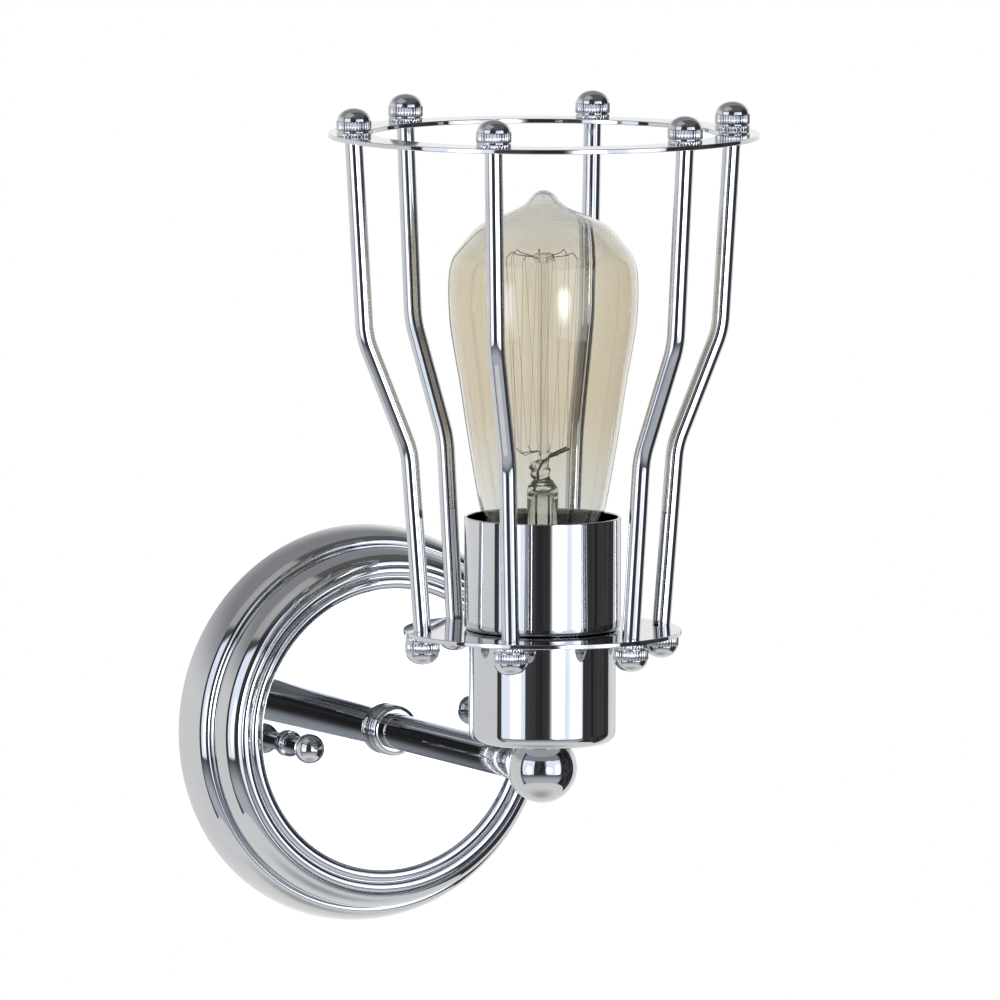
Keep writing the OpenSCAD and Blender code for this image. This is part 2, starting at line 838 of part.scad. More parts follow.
// Rolled brass shell that takes the bulb's cap
module socket_screw_shell() {
    low = holder_floor + shell_low_gap;
    high = holder_top - shell_recess;
    first = low + (high - low - (shell_beads - 1) * shell_pitch) / 2;
    inner_r = shell_d / 2;
    color([0.8, 0.68, 0.4])
        on_cage_axis()
            difference() {
                rotate_extrude() {
                    difference() {
                        union() {
                            translate([0, low]) square([inner_r + shell_t, high - low]);
                            for (k = [0 : shell_beads - 1])
                                translate([inner_r + shell_t, first + k * shell_pitch])
                                    circle(r = shell_bead);
                        }
                        translate([0, low + shell_t]) square([inner_r, high]);
                    }
                }
                translate([0, 0, low - cut]) cylinder(h = shell_t + 2 * cut, d = shell_floor_d);
            }
}

// Sprung tongue under the bulb's contact, with its rivet head
module socket_contact() {
    half = contact_foot / 2;
    rise = contact_rise;
    color([0.85, 0.7, 0.35])
        on_cage_axis()
            translate([0, 0, holder_floor]) {
                translate([0, contact_w / 2, 0])
                    rotate([90, 0, 0])
                        linear_extrude(contact_w)
                            polygon([
                                [-half, 0], [half, 0], [half, contact_t], [-half + contact_t, contact_t],
                                [-half + contact_t * 2, rise - contact_t], [half, rise - contact_t],
                                [half, rise], [-half + contact_t, rise], [-half, contact_t]
                            ]);
                translate([half - contact_rivet_d / 2, 0, contact_t / 2])
                    cylinder(h = contact_rivet_h, d = contact_rivet_d);
            }
}

module terminal_screws() {
    color([0.82, 0.72, 0.42])
        on_cage_axis()
            for (side = [-1, 1])
                translate([-side * wire_x, side * holder_base_d / 2, terminal_z])
                    rotate([-side * 90, 0, 0]) {
                        translate([0, 0, -terminal_in])
                            cylinder(h = terminal_in + terminal_head_h, d = terminal_d);
                        cylinder(h = terminal_head_h, d = terminal_head_d);
                    }
}

// Threaded ring that clamps sleeve and disc against the porcelain's flange
module socket_ring() {
    color([0.9, 0.9, 0.86])
        on_cage_axis()
            translate([0, 0, disc_top + sleeve_wall])
                difference() {
                    ring_of(clamp_h, clamp_d / 2, holder_thread_d / 2 + thread_gap);
                    for (k = [0 : clamp_notches - 1])
                        rotate([0, 0, 360 * k / clamp_notches])
                            translate([clamp_d / 2 + clamp_notch_d / 4, 0, -cut])
                                cylinder(h = clamp_h + 2 * cut, d = clamp_notch_d);
                }
}

// Quarter bend in the plane of a lead, from along +Y to along +Z
module wire_bend(bend) {
    rotate([90, 0, 90])
        rotate_extrude(angle = 90)
            translate([bend, 0]) circle(r = wire_r, $fn = 32);
}

// Straight run of a lead along +Z
module wire_run(h) {
    cylinder(h = h, r = wire_r, $fn = 32);
}

// One lead from the canopy through arm, ball and nipple to its terminal
module lead_wire(side) {
    in_ball = arm_reach - wire_ball_bend;
    turn_z = cup_floor + bracket_t + pipe_nut_h + nipple_over + wire_rise;
    run_z = turn_z + wire_cup_bend;
    end_z = terminal_z - terminal_head_d / 2;
    back = wire_back + wire_canopy_bend;
    run_out = wire_run_r - 2 * wire_cup_bend;
    translate([-side * wire_x, 0, 0]) {
        translate([0, -wire_back, -wire_drop]) wire_run(wire_drop - wire_canopy_bend);
        translate([0, -back, -wire_canopy_bend]) wire_bend(wire_canopy_bend);
        translate([0, -back, 0]) out_of_wall() wire_run(in_ball - back);
        translate([0, -in_ball, wire_ball_bend]) rotate([180, 0, 0]) wire_bend(wire_ball_bend);
        translate([0, -arm_reach, wire_ball_bend]) wire_run(turn_z - wire_ball_bend);
        translate([0, -arm_reach, 0]) rotate([0, 0, 90 - side * 90]) {
            translate([0, wire_cup_bend, turn_z]) rotate([90, 0, 0]) wire_bend(wire_cup_bend);
            translate([0, wire_cup_bend, run_z]) rotate([-90, 0, 0]) wire_run(run_out);
            translate([0, wire_run_r - wire_cup_bend, run_z + wire_cup_bend])
                rotate([-90, 0, 0]) wire_bend(wire_cup_bend);
            translate([0, wire_run_r, run_z + wire_cup_bend])
                wire_run(end_z - run_z - wire_cup_bend);
        }
    }
}

module lead_wire_black() {
    color([0.1, 0.1, 0.1]) lead_wire(-1);
}

module lead_wire_white() {
    color([0.92, 0.92, 0.9]) lead_wire(1);
}

// Disc or ring with a hole for each rod
module drilled_ring(outer_r, inner_r, t, pitch_r) {
    difference() {
        ring_of(t, outer_r, inner_r);
        for (k = [0 : rod_count - 1])
            rotate([0, 0, rod_angle(k)])
                translate([pitch_r, 0, -cut])
                    cylinder(h = t + 2 * cut, r = rod_thread_d / 2 + hole_gap);
    }
}

module cage_lower_disc() {
    color([0.8, 0.8, 0.82])
        on_cage_axis()
            translate([0, 0, disc_low])
                drilled_ring(disc_d / 2, holder_thread_d / 2 + disc_hole_gap, disc_t, rod_low_r);
}

module bulb_sleeve() {
    color([0.8, 0.8, 0.82])
        on_cage_axis()
            translate([0, 0, disc_top])
                sheet_cup(
                    sleeve_d / 2, sleeve_h, sleeve_wall, sleeve_corner,
                    holder_thread_d / 2 + disc_hole_gap
                );
}

module cage_top_ring() {
    color([0.8, 0.8, 0.82])
        on_cage_axis()
            translate([0, 0, ring_low])
                drilled_ring(ring_d / 2, ring_d / 2 - ring_w, ring_t, rod_top_r);
}

// Points of a round bend between two headings, in the plane of a rod
function bend_points(corner, lean_in, lean_out) =
    let (
        turn = lean_out - lean_in,
        side = sign(turn),
        back = rod_bend_r * tan(abs(turn) / 2),
        start = corner - back * [sin(lean_in), cos(lean_in)],
        centre = start + side * rod_bend_r * [cos(lean_in), -sin(lean_in)]
    )
    [
        for (i = [0 : bend_steps])
            let (lean = lean_in + turn * i / bend_steps)
                centre - side * rod_bend_r * [cos(lean), -sin(lean)]
    ];

// Rod with two bends, flush with disc and ring, and a threaded tail at each end
module cage_rod(k) {
    low = [rod_low_r, disc_top];
    knee_low = [knee_low_r, disc_top + knee_low_h];
    knee_top = [knee_top_r, disc_top + knee_top_h];
    top = [rod_top_r, ring_low];
    lean_low = atan2(knee_low.x - low.x, knee_low.y - low.y);
    lean_mid = atan2(knee_top.x - knee_low.x, knee_top.y - knee_low.y);
    lean_top = atan2(top.x - knee_top.x, top.y - knee_top.y);
    line = concat(
        [low],
        bend_points(knee_low, lean_low, lean_mid),
        bend_points(knee_top, lean_mid, lean_top),
        [top]
    );
    up = [0, 0, 1];
    color([0.78, 0.79, 0.8])
        on_cage_axis()
            rotate([0, 0, rod_angle(k)]) {
                swept([for (q = line) [q.x, 0, q.y]], [for (q = line) [0, 1, 0]], rod_r, rod_sides, up, up);
                translate([rod_top_r, 0, ring_low - rod_r])
                    cylinder(h = rod_r + ring_t + rod_tail, d = rod_thread_d);
                translate([rod_low_r, 0, disc_low - rod_tail])
                    cylinder(h = rod_tail + disc_t + rod_r, d = rod_thread_d);
            }
}

module cage_rod_1() {
    cage_rod(0);
}

module cage_rod_2() {
    cage_rod(1);
}

module cage_rod_3() {
    cage_rod(2);
}

module cage_rod_4() {
    cage_rod(3);
}

module cage_rod_5() {
    cage_rod(4);
}

module cage_rod_6() {
    cage_rod(5);
}

// Domed nut with a base ring, a groove and a band of flutes
module ball_nut() {
    r = nut_d / 2;
    base = nut_h * nut_base_share;
    band = base + nut_h * nut_groove_share;
    dome = band + nut_h * nut_band_share;
    difference() {
        union() {
            cylinder(h = base, r = r * nut_base_d_share);
            cylinder(h = dome, r = r * nut_groove_d_share);
            translate([0, 0, band])
                linear_extrude(dome - band)
                    polygon([
                        for (i = [0 : 2 * nut_flutes - 1])
                            let (flute_r = i % 2 == 0 ? r : r * nut_root_share)
                                flute_r * [cos(180 * i / nut_flutes), sin(180 * i / nut_flutes)]
                    ]);
            translate([0, 0, dome])
                rotate_extrude()
                    polygon(concat([[0, 0]], quarter(0, 0, r * knurl_d_share, nut_h - dome)));
        }
        translate([0, 0, -cut])
            cylinder(h = cut + rod_tail + nut_hole_over, r = rod_thread_d / 2 + thread_gap);
    }
}

module cage_top_nuts() {
    color([0.7, 0.7, 0.7])
        on_cage_axis()
            for (k = [0 : rod_count - 1])
                rotate([0, 0, rod_angle(k)])
                    translate([rod_top_r, 0, ring_top]) ball_nut();
}

module cage_bottom_nuts() {
    color([0.7, 0.7, 0.7])
        on_cage_axis()
            for (k = [0 : rod_count - 1])
                rotate([0, 0, rod_angle(k)])
                    translate([rod_low_r, 0, disc_low]) rotate([180, 0, 0]) ball_nut();
}

// Ball on a neck with a thin flange, bored for its stud
module canopy_nut(side) {
    color([0.8, 0.8, 0.82])
        out_of_wall()
            rotate([0, 0, stud_turn + side])
                translate([stud_spacing / 2, 0, plate_depth + seat_gap])
                    difference() {
                        union() {
                            cylinder(h = knob_flange_h, d = knob_flange_d);
                            cylinder(h = knob_reach - seat_gap, d = knob_neck_d);
                            translate([0, 0, knob_reach - seat_gap]) sphere(d = knob_d);
                        }
                        translate([0, 0, -cut])
                            cylinder(
                                h = cut + stud_in_knob + knob_hole_end,
                                r = stud_r + thread_gap
                            );
                    }
}

module canopy_nut_left() {
    canopy_nut(180);
}

module canopy_nut_right() {
    canopy_nut(0);
}

// Blown glass, open at the neck inside the cap
module bulb_glass() {
    shape = smooth_path(concat(
        [[neck_r, -neck_in], [neck_r, 0]],
        [for (s = low_glass_shares) [neck_r + s.x * (glass_d / 2 - neck_r), s.y * glass_h]],
        [for (s = top_glass_shares) [s.x * glass_d / 2, s.y * glass_h]]
    ), glass_steps);
    last = len(shape) - 1;
    inner = [for (i = [0 : last - 1]) shape[i] + glass_wall * inward(shape, i)];
    color([0.85, 0.8, 0.68, 0.45])
        on_cage_axis()
            translate([0, 0, cap_top])
                rotate_extrude()
                    polygon(concat(
                        [for (p = shape) [max(p.x, 0), p.y]],
                        [[0, glass_h - glass_wall]],
                        [for (i = [last - 1 : -1 : 0]) [max(inner[i].x, 0), inner[i].y]]
                    ));
}

// Flared glass tube, pinched press, rod and button
module bulb_stem() {
    r = stem_d / 2;
    neck = stem_low + stem_flare_h;
    color([0.85, 0.87, 0.85, 0.5])
        on_cage_axis() {
            rotate_extrude()
                polygon([
                    [stem_flare_r, stem_low], [r, neck], [r, stem_top], [0, stem_top],
                    [0, stem_top - stem_wall], [r - stem_wall, stem_top - stem_wall],
                    [r - stem_wall, neck], [stem_flare_r - stem_wall, stem_low]
                ]);
            intersection() {
                translate([-press_w / 2, -press_t / 2, stem_top - stem_wall])
                    cube([press_w, press_t, press_h + stem_wall]);
                translate([0, press_t / 2, stem_top + press_h - press_w / 2])
                    rotate([90, 0, 0]) {
                        cylinder(h = press_t, d = press_w);
                        translate([-press_w / 2, -press_h, 0]) cube([press_w, press_h, press_t]);
                    }
            }
            translate([0, 0, stem_top + press_h / 2])
                cylinder(h = rod_glass_top - stem_top - press_h / 2, d = rod_glass_d);
            translate([0, 0, rod_glass_top - button_h])
                rotate_extrude()
                    polygon(concat(
                        [[0, 0]],
                        [
                            for (i = [0 : curve_steps])
                                let (turn = 180 * i / curve_steps - 90)
                                    [
                                        button_d / 2 - button_h / 2 + button_h / 2 * cos(turn),
                                        button_h / 2 + button_h / 2 * sin(turn)
                                    ]
                        ],
                        [[0, button_h]]
                    ));
        }
}

function around(r, turn, z) = [r * cos(turn), r * sin(turn), z];

function top_turn(i) = (i + 0.5) * support_turn / support_count;

function low_turn(i) = i * support_turn / support_count;

// Direction along the circle at a turn about the axis
function along_circle(turn) = [-sin(turn), cos(turn), 0];

// Wire through points in one upright plane through the axis
module radial_wire(turn, p, d) {
    swept([for (q = p) around(q.x, turn, q.y)], [for (q = p) along_circle(turn)], d / 2, wire_sides);
}

// Hook wires: a ring of them at the button, another over the press
module filament_supports() {
    gap = (support_d + filament_d) / 2 + support_gap;
    top_z = rod_glass_top - button_h / 2;
    color([0.45, 0.43, 0.4])
        on_cage_axis() {
            for (i = [0 : support_count - 1])
                radial_wire(top_turn(i), [
                    [button_d / 2 + support_gap, top_z],
                    [support_top_r - 2 * support_tip, top_z + support_tip / 2],
                    [support_top_r - support_tip, top_z + support_tip],
                    [support_top_r - gap, top_z]
                ], support_d);
            for (i = [1 : support_count - 1])
                radial_wire(low_turn(i), [
                    [rod_glass_d / 2 + support_gap, support_low_z],
                    [support_low_r - 2 * support_tip, support_low_z - support_tip / 4],
                    [support_low_r - support_tip, support_low_z - support_tip / 2],
                    [support_low_r - gap, support_low_z + support_tip / 2]
                ], support_d);
        }
}

// Filament that climbs and falls between the hooks, with a short run round each
module bulb_filament() {
    top_z = rod_glass_top - button_h / 2;
    low_z = support_low_z + support_tip / 2;
    stops = [
        for (i = [0 : 2 * support_count])
            let (
                low = i % 2 == 0,
                r = low ? support_low_r : support_top_r,
                turn = low ? low_turn(i / 2) : top_turn((i - 1) / 2),
                half = atan(filament_loop / 2 / r),
                z = low ? low_z : top_z
            )
            each i == 0 || i == 2 * support_count
                ? [[r, turn, z]]
                : [[r, turn - half, z], [r, turn + half, z]]
    ];
    color([0.5, 0.42, 0.32])
        on_cage_axis()
            swept(
                [for (q = stops) around(q.x, q.y, q.z)],
                [for (q = stops) [cos(q.y), sin(q.y), 0]],
                filament_d / 2,
                wire_sides
            );
}

// Two wires from the press to the filament's ends, and on down inside the stem
module lead_in_wires() {
    gap = (lead_in_d + filament_d) / 2 + support_gap;
    low_z = support_low_z + support_tip / 2;
    start_z = stem_top + press_h + support_gap;
    color([0.2, 0.19, 0.18])
        on_cage_axis()
            for (end = [0, support_count]) {
                foot = end == 0 ? lead_in_x : rod_glass_d;
                radial_wire(low_turn(end), [
                    [foot, start_z],
                    [foot, start_z + lead_in_d],
                    [foot + lead_in_d, start_z + 2 * lead_in_d],
                    [support_low_r - gap, low_z]
                ], lead_in_d);
                x = end == 0 ? lead_in_x : -lead_in_x;
                translate([x, 0, stem_top - stem_wall - lead_in_foot])
                    cylinder(h = lead_in_foot - support_gap, d = lead_in_d, $fn = 16);
            }
}

// Radius of the rolled thread at a height over the cap's foot and a turn about its axis
function cap_thread_r(h, turn) =
    let (
        end = cap_start_h + cap_turns * cap_pitch,
        fade = max(0, min(1, h / cap_start_h, (end - h) / cap_start_h)),
        wave = (1 + cos(360 * h / cap_pitch - turn)) / 2
    )
    h >= end ? cap_skirt_d / 2 : (cap_d - cap_groove) / 2 - cap_groove / 2 + cap_groove * wave * fade;

// Rolled cap with a helical thread below a plain skirt
module bulb_cap() {
    rows = ceil(cap_h / cap_pitch * cap_rows_per_turn);
    heights = [for (j = [0 : rows]) cap_h * j / rows];
    outer = [
        for (h = heights)
            for (i = [0 : cap_sides - 1])
                let (turn = 360 * i / cap_sides, r = cap_thread_r(h, turn))
                    [r * cos(turn), r * sin(turn), h]
    ];
    inner = [
        for (h = heights)
            for (i = [0 : cap_sides - 1])
                let (turn = 360 * i / cap_sides, r = cap_thread_r(h, turn) - cap_sheet)
                    [r * cos(turn), r * sin(turn), h]
    ];
    shift = len(outer);
    function at(j, i) = j * cap_sides + i % cap_sides;
    faces = concat(
        [for (j = [0 : rows - 1]) for (i = [0 : cap_sides - 1]) [at(j, i), at(j + 1, i), at(j + 1, i + 1)]],
        [for (j = [0 : rows - 1]) for (i = [0 : cap_sides - 1]) [at(j, i), at(j + 1, i + 1), at(j, i + 1)]],
        [
            for (j = [0 : rows - 1]) for (i = [0 : cap_sides - 1])
                [shift + at(j, i), shift + at(j + 1, i + 1), shift + at(j + 1, i)]
        ],
        [
            for (j = [0 : rows - 1]) for (i = [0 : cap_sides - 1])
                [shift + at(j, i), shift + at(j, i + 1), shift + at(j + 1, i + 1)]
        ],
        [for (i = [0 : cap_sides - 1]) [at(0, i), at(0, i + 1), shift + at(0, i + 1)]],
        [for (i = [0 : cap_sides - 1]) [at(0, i), shift + at(0, i + 1), shift + at(0, i)]],
        [for (i = [0 : cap_sides - 1]) [at(rows, i), shift + at(rows, i), shift + at(rows, i + 1)]],
        [for (i = [0 : cap_sides - 1]) [at(rows, i), shift + at(rows, i + 1), at(rows, i + 1)]]
    );
    color([0.82, 0.76, 0.6])
        on_cage_axis()
            translate([0, 0, cap_low]) polyhedron(points = concat(outer, inner), faces = faces);
}

// Black glass between the cap's rim and its contact
module cap_insulator() {
    color([0.08, 0.08, 0.09])
        on_cage_axis()
            translate([0, 0, bulb_low + contact_h])
                cylinder(h = insulator_h, d1 = insulator_low_d, d2 = insulator_d);
}

module cap_contact() {
    color([0.75, 0.72, 0.66])
        on_cage_axis()
            translate([0, 0, bulb_low])
                rotate_extrude()
                    polygon([
                        for (i = [0 : curve_steps])
                            let (turn = 90 * i / curve_steps)
                                [contact_d / 2 * sin(turn), contact_h * (1 - cos(turn))],
                        [0, contact_h]
                    ]);
}

backplate();
mounting_strap();
mounting_studs();
stud_nuts();
ground_screw();
arm_locknut();
arm_washer();
arm_collar();
arm_tube();
arm_end_ball();
cup_nipple();
cup_locknut();
socket_cup();
socket_bracket();
bracket_screws();
socket_body();
socket_screw_shell();
socket_contact();
terminal_screws();
socket_ring();
lead_wire_black();
lead_wire_white();
cage_lower_disc();
bulb_sleeve();
cage_top_ring();
cage_rod_1();
cage_rod_2();
cage_rod_3();
cage_rod_4();
cage_rod_5();
cage_rod_6();
cage_top_nuts();
cage_bottom_nuts();
canopy_nut_left();
canopy_nut_right();
bulb_glass();
bulb_stem();
filament_supports();
bulb_filament();
lead_in_wires();
bulb_cap();
cap_insulator();
cap_contact();
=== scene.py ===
import math

import bpy
from mathutils import Matrix, Vector


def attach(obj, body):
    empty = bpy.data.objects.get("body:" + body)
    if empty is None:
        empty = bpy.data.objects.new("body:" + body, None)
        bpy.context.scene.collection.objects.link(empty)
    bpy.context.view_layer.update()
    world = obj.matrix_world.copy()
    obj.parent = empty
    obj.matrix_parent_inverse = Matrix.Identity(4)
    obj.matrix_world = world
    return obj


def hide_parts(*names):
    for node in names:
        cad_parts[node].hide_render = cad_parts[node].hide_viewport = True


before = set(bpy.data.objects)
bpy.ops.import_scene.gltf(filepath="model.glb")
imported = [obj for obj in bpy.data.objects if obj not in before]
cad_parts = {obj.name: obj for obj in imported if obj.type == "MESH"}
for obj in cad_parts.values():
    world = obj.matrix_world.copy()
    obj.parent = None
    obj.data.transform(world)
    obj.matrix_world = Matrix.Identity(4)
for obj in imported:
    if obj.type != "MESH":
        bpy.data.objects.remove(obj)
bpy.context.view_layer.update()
mm = 0.001
print("packed model loaded:", len(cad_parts), "nodes")

# camera, matched to the photograph's vanishing lines
shot = {
    "turn": -27.04,     # degrees round the light from straight in front
    "rise": 6.19,       # degrees above the horizon
    "roll": 0.17,
    "lens": 470.7,
    "sensor": 36,
    "away": 4.0,
    "farthest": 100,
    "target": (0.00869, -0.0800, 0.07684),
}


def aimedMatrix(turn, rise, roll, target, away):   # looks back at the target from its place
    turn, rise, roll = (math.radians(angle) for angle in (turn, rise, roll))
    back = Vector((math.sin(turn) * math.cos(rise), -math.cos(turn) * math.cos(rise), math.sin(rise)))
    right = Vector((math.cos(turn), math.sin(turn), 0))
    up = back.cross(right)
    tiltedRight = right * math.cos(roll) + up * math.sin(roll)
    tiltedUp = up * math.cos(roll) - right * math.sin(roll)
    matrix = Matrix((tiltedRight, tiltedUp, back)).transposed().to_4x4()
    matrix.translation = Vector(target) + back * away
    return matrix


bpy.ops.object.camera_add()
cameraObject = bpy.context.object
cameraObject.name = "photoCamera"
cameraObject.data.sensor_width = shot["sensor"]
cameraObject.data.lens = shot["lens"]
cameraObject.data.clip_end = shot["farthest"]
cameraObject.matrix_world = aimedMatrix(
    shot["turn"], shot["rise"], shot["roll"], shot["target"], shot["away"])
bpy.context.scene.camera = cameraObject
bpy.context.scene.view_settings.view_transform = "Standard"
print("camera placed")


# small tools for materials
def linear(code):   # a hex colour as the shader wants it
    parts = [int(code[i:i + 2], 16) / 255 for i in (1, 3, 5)]
    return tuple(p / 12.92 if p <= 0.04045 else ((p + 0.055) / 1.055) ** 2.4 for p in parts) + (1.0,)


def addNode(tree, kind, inputs=None, **settings):   # one node with its settings, values and links
    node = tree.nodes.new(kind)
    for name, value in settings.items():
        setattr(node, name, value)
    for name, value in (inputs or {}).items():
        if isinstance(value, bpy.types.NodeSocket):
            tree.links.new(value, node.inputs[name])
        else:
            node.inputs[name].default_value = value
    return node


def bareMaterial(name):   # a material whose nodes are still to come
    material = bpy.data.materials.new(name)
    material.use_nodes = True
    material.node_tree.nodes.clear()
    return material


# colour drifts between two tones over patches, roughness drifts with them, grain lifts the surface
def makeFinish(name, tones, patch, roughness, grain, lift, more, stretch=(1, 1, 1)):
    material = bareMaterial(name)
    tree = material.node_tree
    place = addNode(tree, "ShaderNodeTexCoord")
    drawn = addNode(tree, "ShaderNodeMapping", {"Vector": place.outputs["Object"], "Scale": stretch})
    patches = addNode(tree, "ShaderNodeTexNoise", {
        "Vector": drawn.outputs["Vector"], "Scale": 1 / patch, "Detail": 4.0, "Roughness": 0.6,
    })
    grains = addNode(tree, "ShaderNodeTexNoise", {
        "Vector": drawn.outputs["Vector"], "Scale": 1 / grain, "Detail": 2.0,
    })
    drift = addNode(tree, "ShaderNodeMapRange", {
        "Value": patches.outputs[0], "From Min": 0.35, "From Max": 0.65,
    })
    tone = addNode(tree, "ShaderNodeMix", {
        0: drift.outputs[0], 6: linear(tones[0]), 7: linear(tones[1]),
    }, data_type="RGBA")
    rough = addNode(tree, "ShaderNodeMapRange", {
        "Value": patches.outputs[0], "From Min": 0.35, "From Max": 0.7,
        "To Min": roughness[0], "To Max": roughness[1],
    })
    bump = addNode(tree, "ShaderNodeBump", {"Strength": 1.0, "Distance": lift, "Height": grains.outputs[0]})
    shader = addNode(tree, "ShaderNodeBsdfPrincipled", {
        "Base Color": tone.outputs[2], "Roughness": rough.outputs[0],
        "Normal": bump.outputs["Normal"], **more,
    })
    addNode(tree, "ShaderNodeOutputMaterial", {"Surface": shader.outputs[0]})
    return material


metal = {"Metallic": 1.0}

# nickel under bright chrome on polished sheet: mirror with a faint wave and hardly any haze
sheetChrome = (("#C6C8CA", "#BFC1C4"), 0.03, (0.03, 0.055), 0.028, 0.000008)
polishedChrome = makeFinish("polishedChrome", *sheetChrome, more=metal)
# turned brass under the same chrome: cleaner mirror with fine lathe haze, for balls, nuts and the arm
turnedChrome = makeFinish(
    "turnedChrome", ("#C8C9CB", "#BEC0C3"), 0.012, (0.035, 0.07), 0.006, 0.000002, more=metal)
# zinc-plated steel: cloudy grey with a soft spangle
zincPlate = makeFinish(
    "zincPlate", ("#B4B5AF", "#9A9C97"), 0.004, (0.28, 0.42), 0.0012, 0.00002, more=metal)
# yellow-passivated zinc: brassy with a faint rainbow drift, here only its warm side
yellowZinc = makeFinish(
    "yellowZinc", ("#C9B684", "#B3A277"), 0.003, (0.25, 0.38), 0.001, 0.00001, more=metal)
# green-dyed zinc on the ground screw: metallic green
greenZinc = makeFinish(
    "greenZinc", ("#2F7D49", "#24653B"), 0.002, (0.28, 0.4), 0.0008, 0.00001, more=metal)
# rolled brass of the lamp's shell: warm yellow, slightly dulled
rolledBrass = makeFinish(
    "rolledBrass", ("#D0AD62", "#BC9850"), 0.004, (0.18, 0.3), 0.0015, 0.000008, more=metal)
# spring bronze of the tongue: redder than the shell
springBronze = makeFinish(
    "springBronze", ("#C9975A", "#B5834A"), 0.003, (0.2, 0.32), 0.001, 0.000006, more=metal)
# nickelled cap of the bulb: pale warm metal with a fine drawn grain
nickelledCap = makeFinish(
    "nickelledCap", ("#C9C2AE", "#B8B09B"), 0.003, (0.16, 0.28), 0.0009, 0.000006, more=metal)
# tin solder on the cap's tip: dull and lumpy
tinSolder = makeFinish(
    "tinSolder", ("#B5B3AC", "#9C9A94"), 0.0015, (0.35, 0.5), 0.001, 0.00005, more=metal)
# glazed porcelain: white body under a wet glaze, a little uneven
glazedPorcelain = makeFinish(
    "glazedPorcelain", ("#EDEBE2", "#E4E1D6"), 0.01, (0.08, 0.16), 0.004, 0.00002,
    more={"Coat Weight": 0.6, "Coat Roughness": 0.05, "IOR": 1.52})
# moulded phenolic ring: warm white, satin, fine mould grain
mouldedPhenolic = makeFinish(
    "mouldedPhenolic", ("#E3E0D6", "#D8D4C8"), 0.005, (0.3, 0.42), 0.0006, 0.00001, more={"IOR": 1.55})
# black pressed glass between rim and tip: near black and wet
blackGlass = makeFinish(
    "blackGlass", ("#17171A", "#1F1E22"), 0.003, (0.06, 0.14), 0.0015, 0.00001, more={"IOR": 1.5})
# PVC sleeve of the live lead: black, soft sheen
blackInsulation = makeFinish(
    "blackInsulation", ("#1B1B1C", "#242425"), 0.004, (0.38, 0.5), 0.0006, 0.000012, more={"IOR": 1.53})
# PVC sleeve of the neutral lead: off-white, soft sheen
whiteInsulation = makeFinish(
    "whiteInsulation", ("#E6E4DD", "#DAD7CE"), 0.004, (0.38, 0.5), 0.0006, 0.000012, more={"IOR": 1.53})
# blown glass with a tea-coloured stain: see-through beige, drawn into faint upright streaks
stainedGlass = makeFinish(
    "stainedGlass", ("#ECE8DE", "#E4DDCD"), 0.03, (0.0, 0.012), 0.018, 0.00003, stretch=(1, 1, 0.3),
    more={"Transmission Weight": 1.0, "IOR": 1.5})
stain = {
    "rim": "#D5CCB6", "rimBlend": 0.3, "thin": "#E9E9E5",
    "neck": (0.076, 0.115), "tip": (0.174, 0.145),   # heights in metres where it is thin and where it is full
}
tree = stainedGlass.node_tree   # towards its rim the light goes a longer way through the stain
shader = next(node for node in tree.nodes if node.type == "BSDF_PRINCIPLED")
rim = addNode(tree, "ShaderNodeLayerWeight", {"Blend": stain["rimBlend"]})
deeper = addNode(tree, "ShaderNodeMix", {
    0: rim.outputs["Facing"], 6: shader.inputs["Base Color"].links[0].from_socket, 7: linear(stain["rim"]),
}, data_type="RGBA")
upward = addNode(tree, "ShaderNodeSeparateXYZ", {
    0: addNode(tree, "ShaderNodeTexCoord").outputs["Object"],
}).outputs["Z"]
stainEnds = [
    addNode(tree, "ShaderNodeMapRange", {
        "Value": upward, "From Min": thin, "From Max": full,
    }, interpolation_type="SMOOTHSTEP").outputs[0]
    for thin, full in (stain["neck"], stain["tip"])
]
stainShare = addNode(tree, "ShaderNodeMath", {0: stainEnds[0], 1: stainEnds[1]}, operation="MULTIPLY")
stained = addNode(tree, "ShaderNodeMix", {
    0: stainShare.outputs[0], 6: linear(stain["thin"]), 7: deeper.outputs[2],
}, data_type="RGBA")
tree.links.new(stained.outputs[2], shader.inputs["Base Color"])
# lead glass of the stem: clear, with the heat's ripples
stemGlass = makeFinish(
    "stemGlass", ("#F4F5F1", "#EDEFEA"), 0.006, (0.0, 0.02), 0.003, 0.00004,
    more={"Transmission Weight": 1.0, "IOR": 1.54})
# molybdenum hooks: dull grey wire
molybdenumWire = makeFinish(
    "molybdenumWire", ("#6E6A64", "#595550"), 0.002, (0.3, 0.45), 0.0005, 0.000004, more=metal)
# carbonised filament thread: golden brown with a dry surface
filamentThread = makeFinish(
    "filamentThread", ("#A98754", "#8B6E48"), 0.001, (0.45, 0.6), 0.0003, 0.000004, more={"Metallic": 0.5})
# nickel lead-in wires, darkened by the flame
flamedNickel = makeFinish(
    "flamedNickel", ("#4A4744", "#36332F"), 0.0025, (0.25, 0.45), 0.0006, 0.000005, more=metal)
print("finishes made")


# small tools for modelling
def pickOnly(*pieces):
    bpy.ops.object.select_all(action="DESELECT")
    for piece in pieces:
        piece.select_set(True)
    bpy.context.view_layer.objects.active = pieces[-1]


def openMesh(piece):   # edit mode with everything selected
    pickOnly(piece)
    bpy.ops.object.mode_set(mode="EDIT")
    bpy.ops.mesh.select_all(action="SELECT")


def closeMesh():
    bpy.ops.object.mode_set(mode="OBJECT")


def settle():   # place, turn and size go into the mesh
    bpy.ops.object.transform_apply(location=True, rotation=True, scale=True)


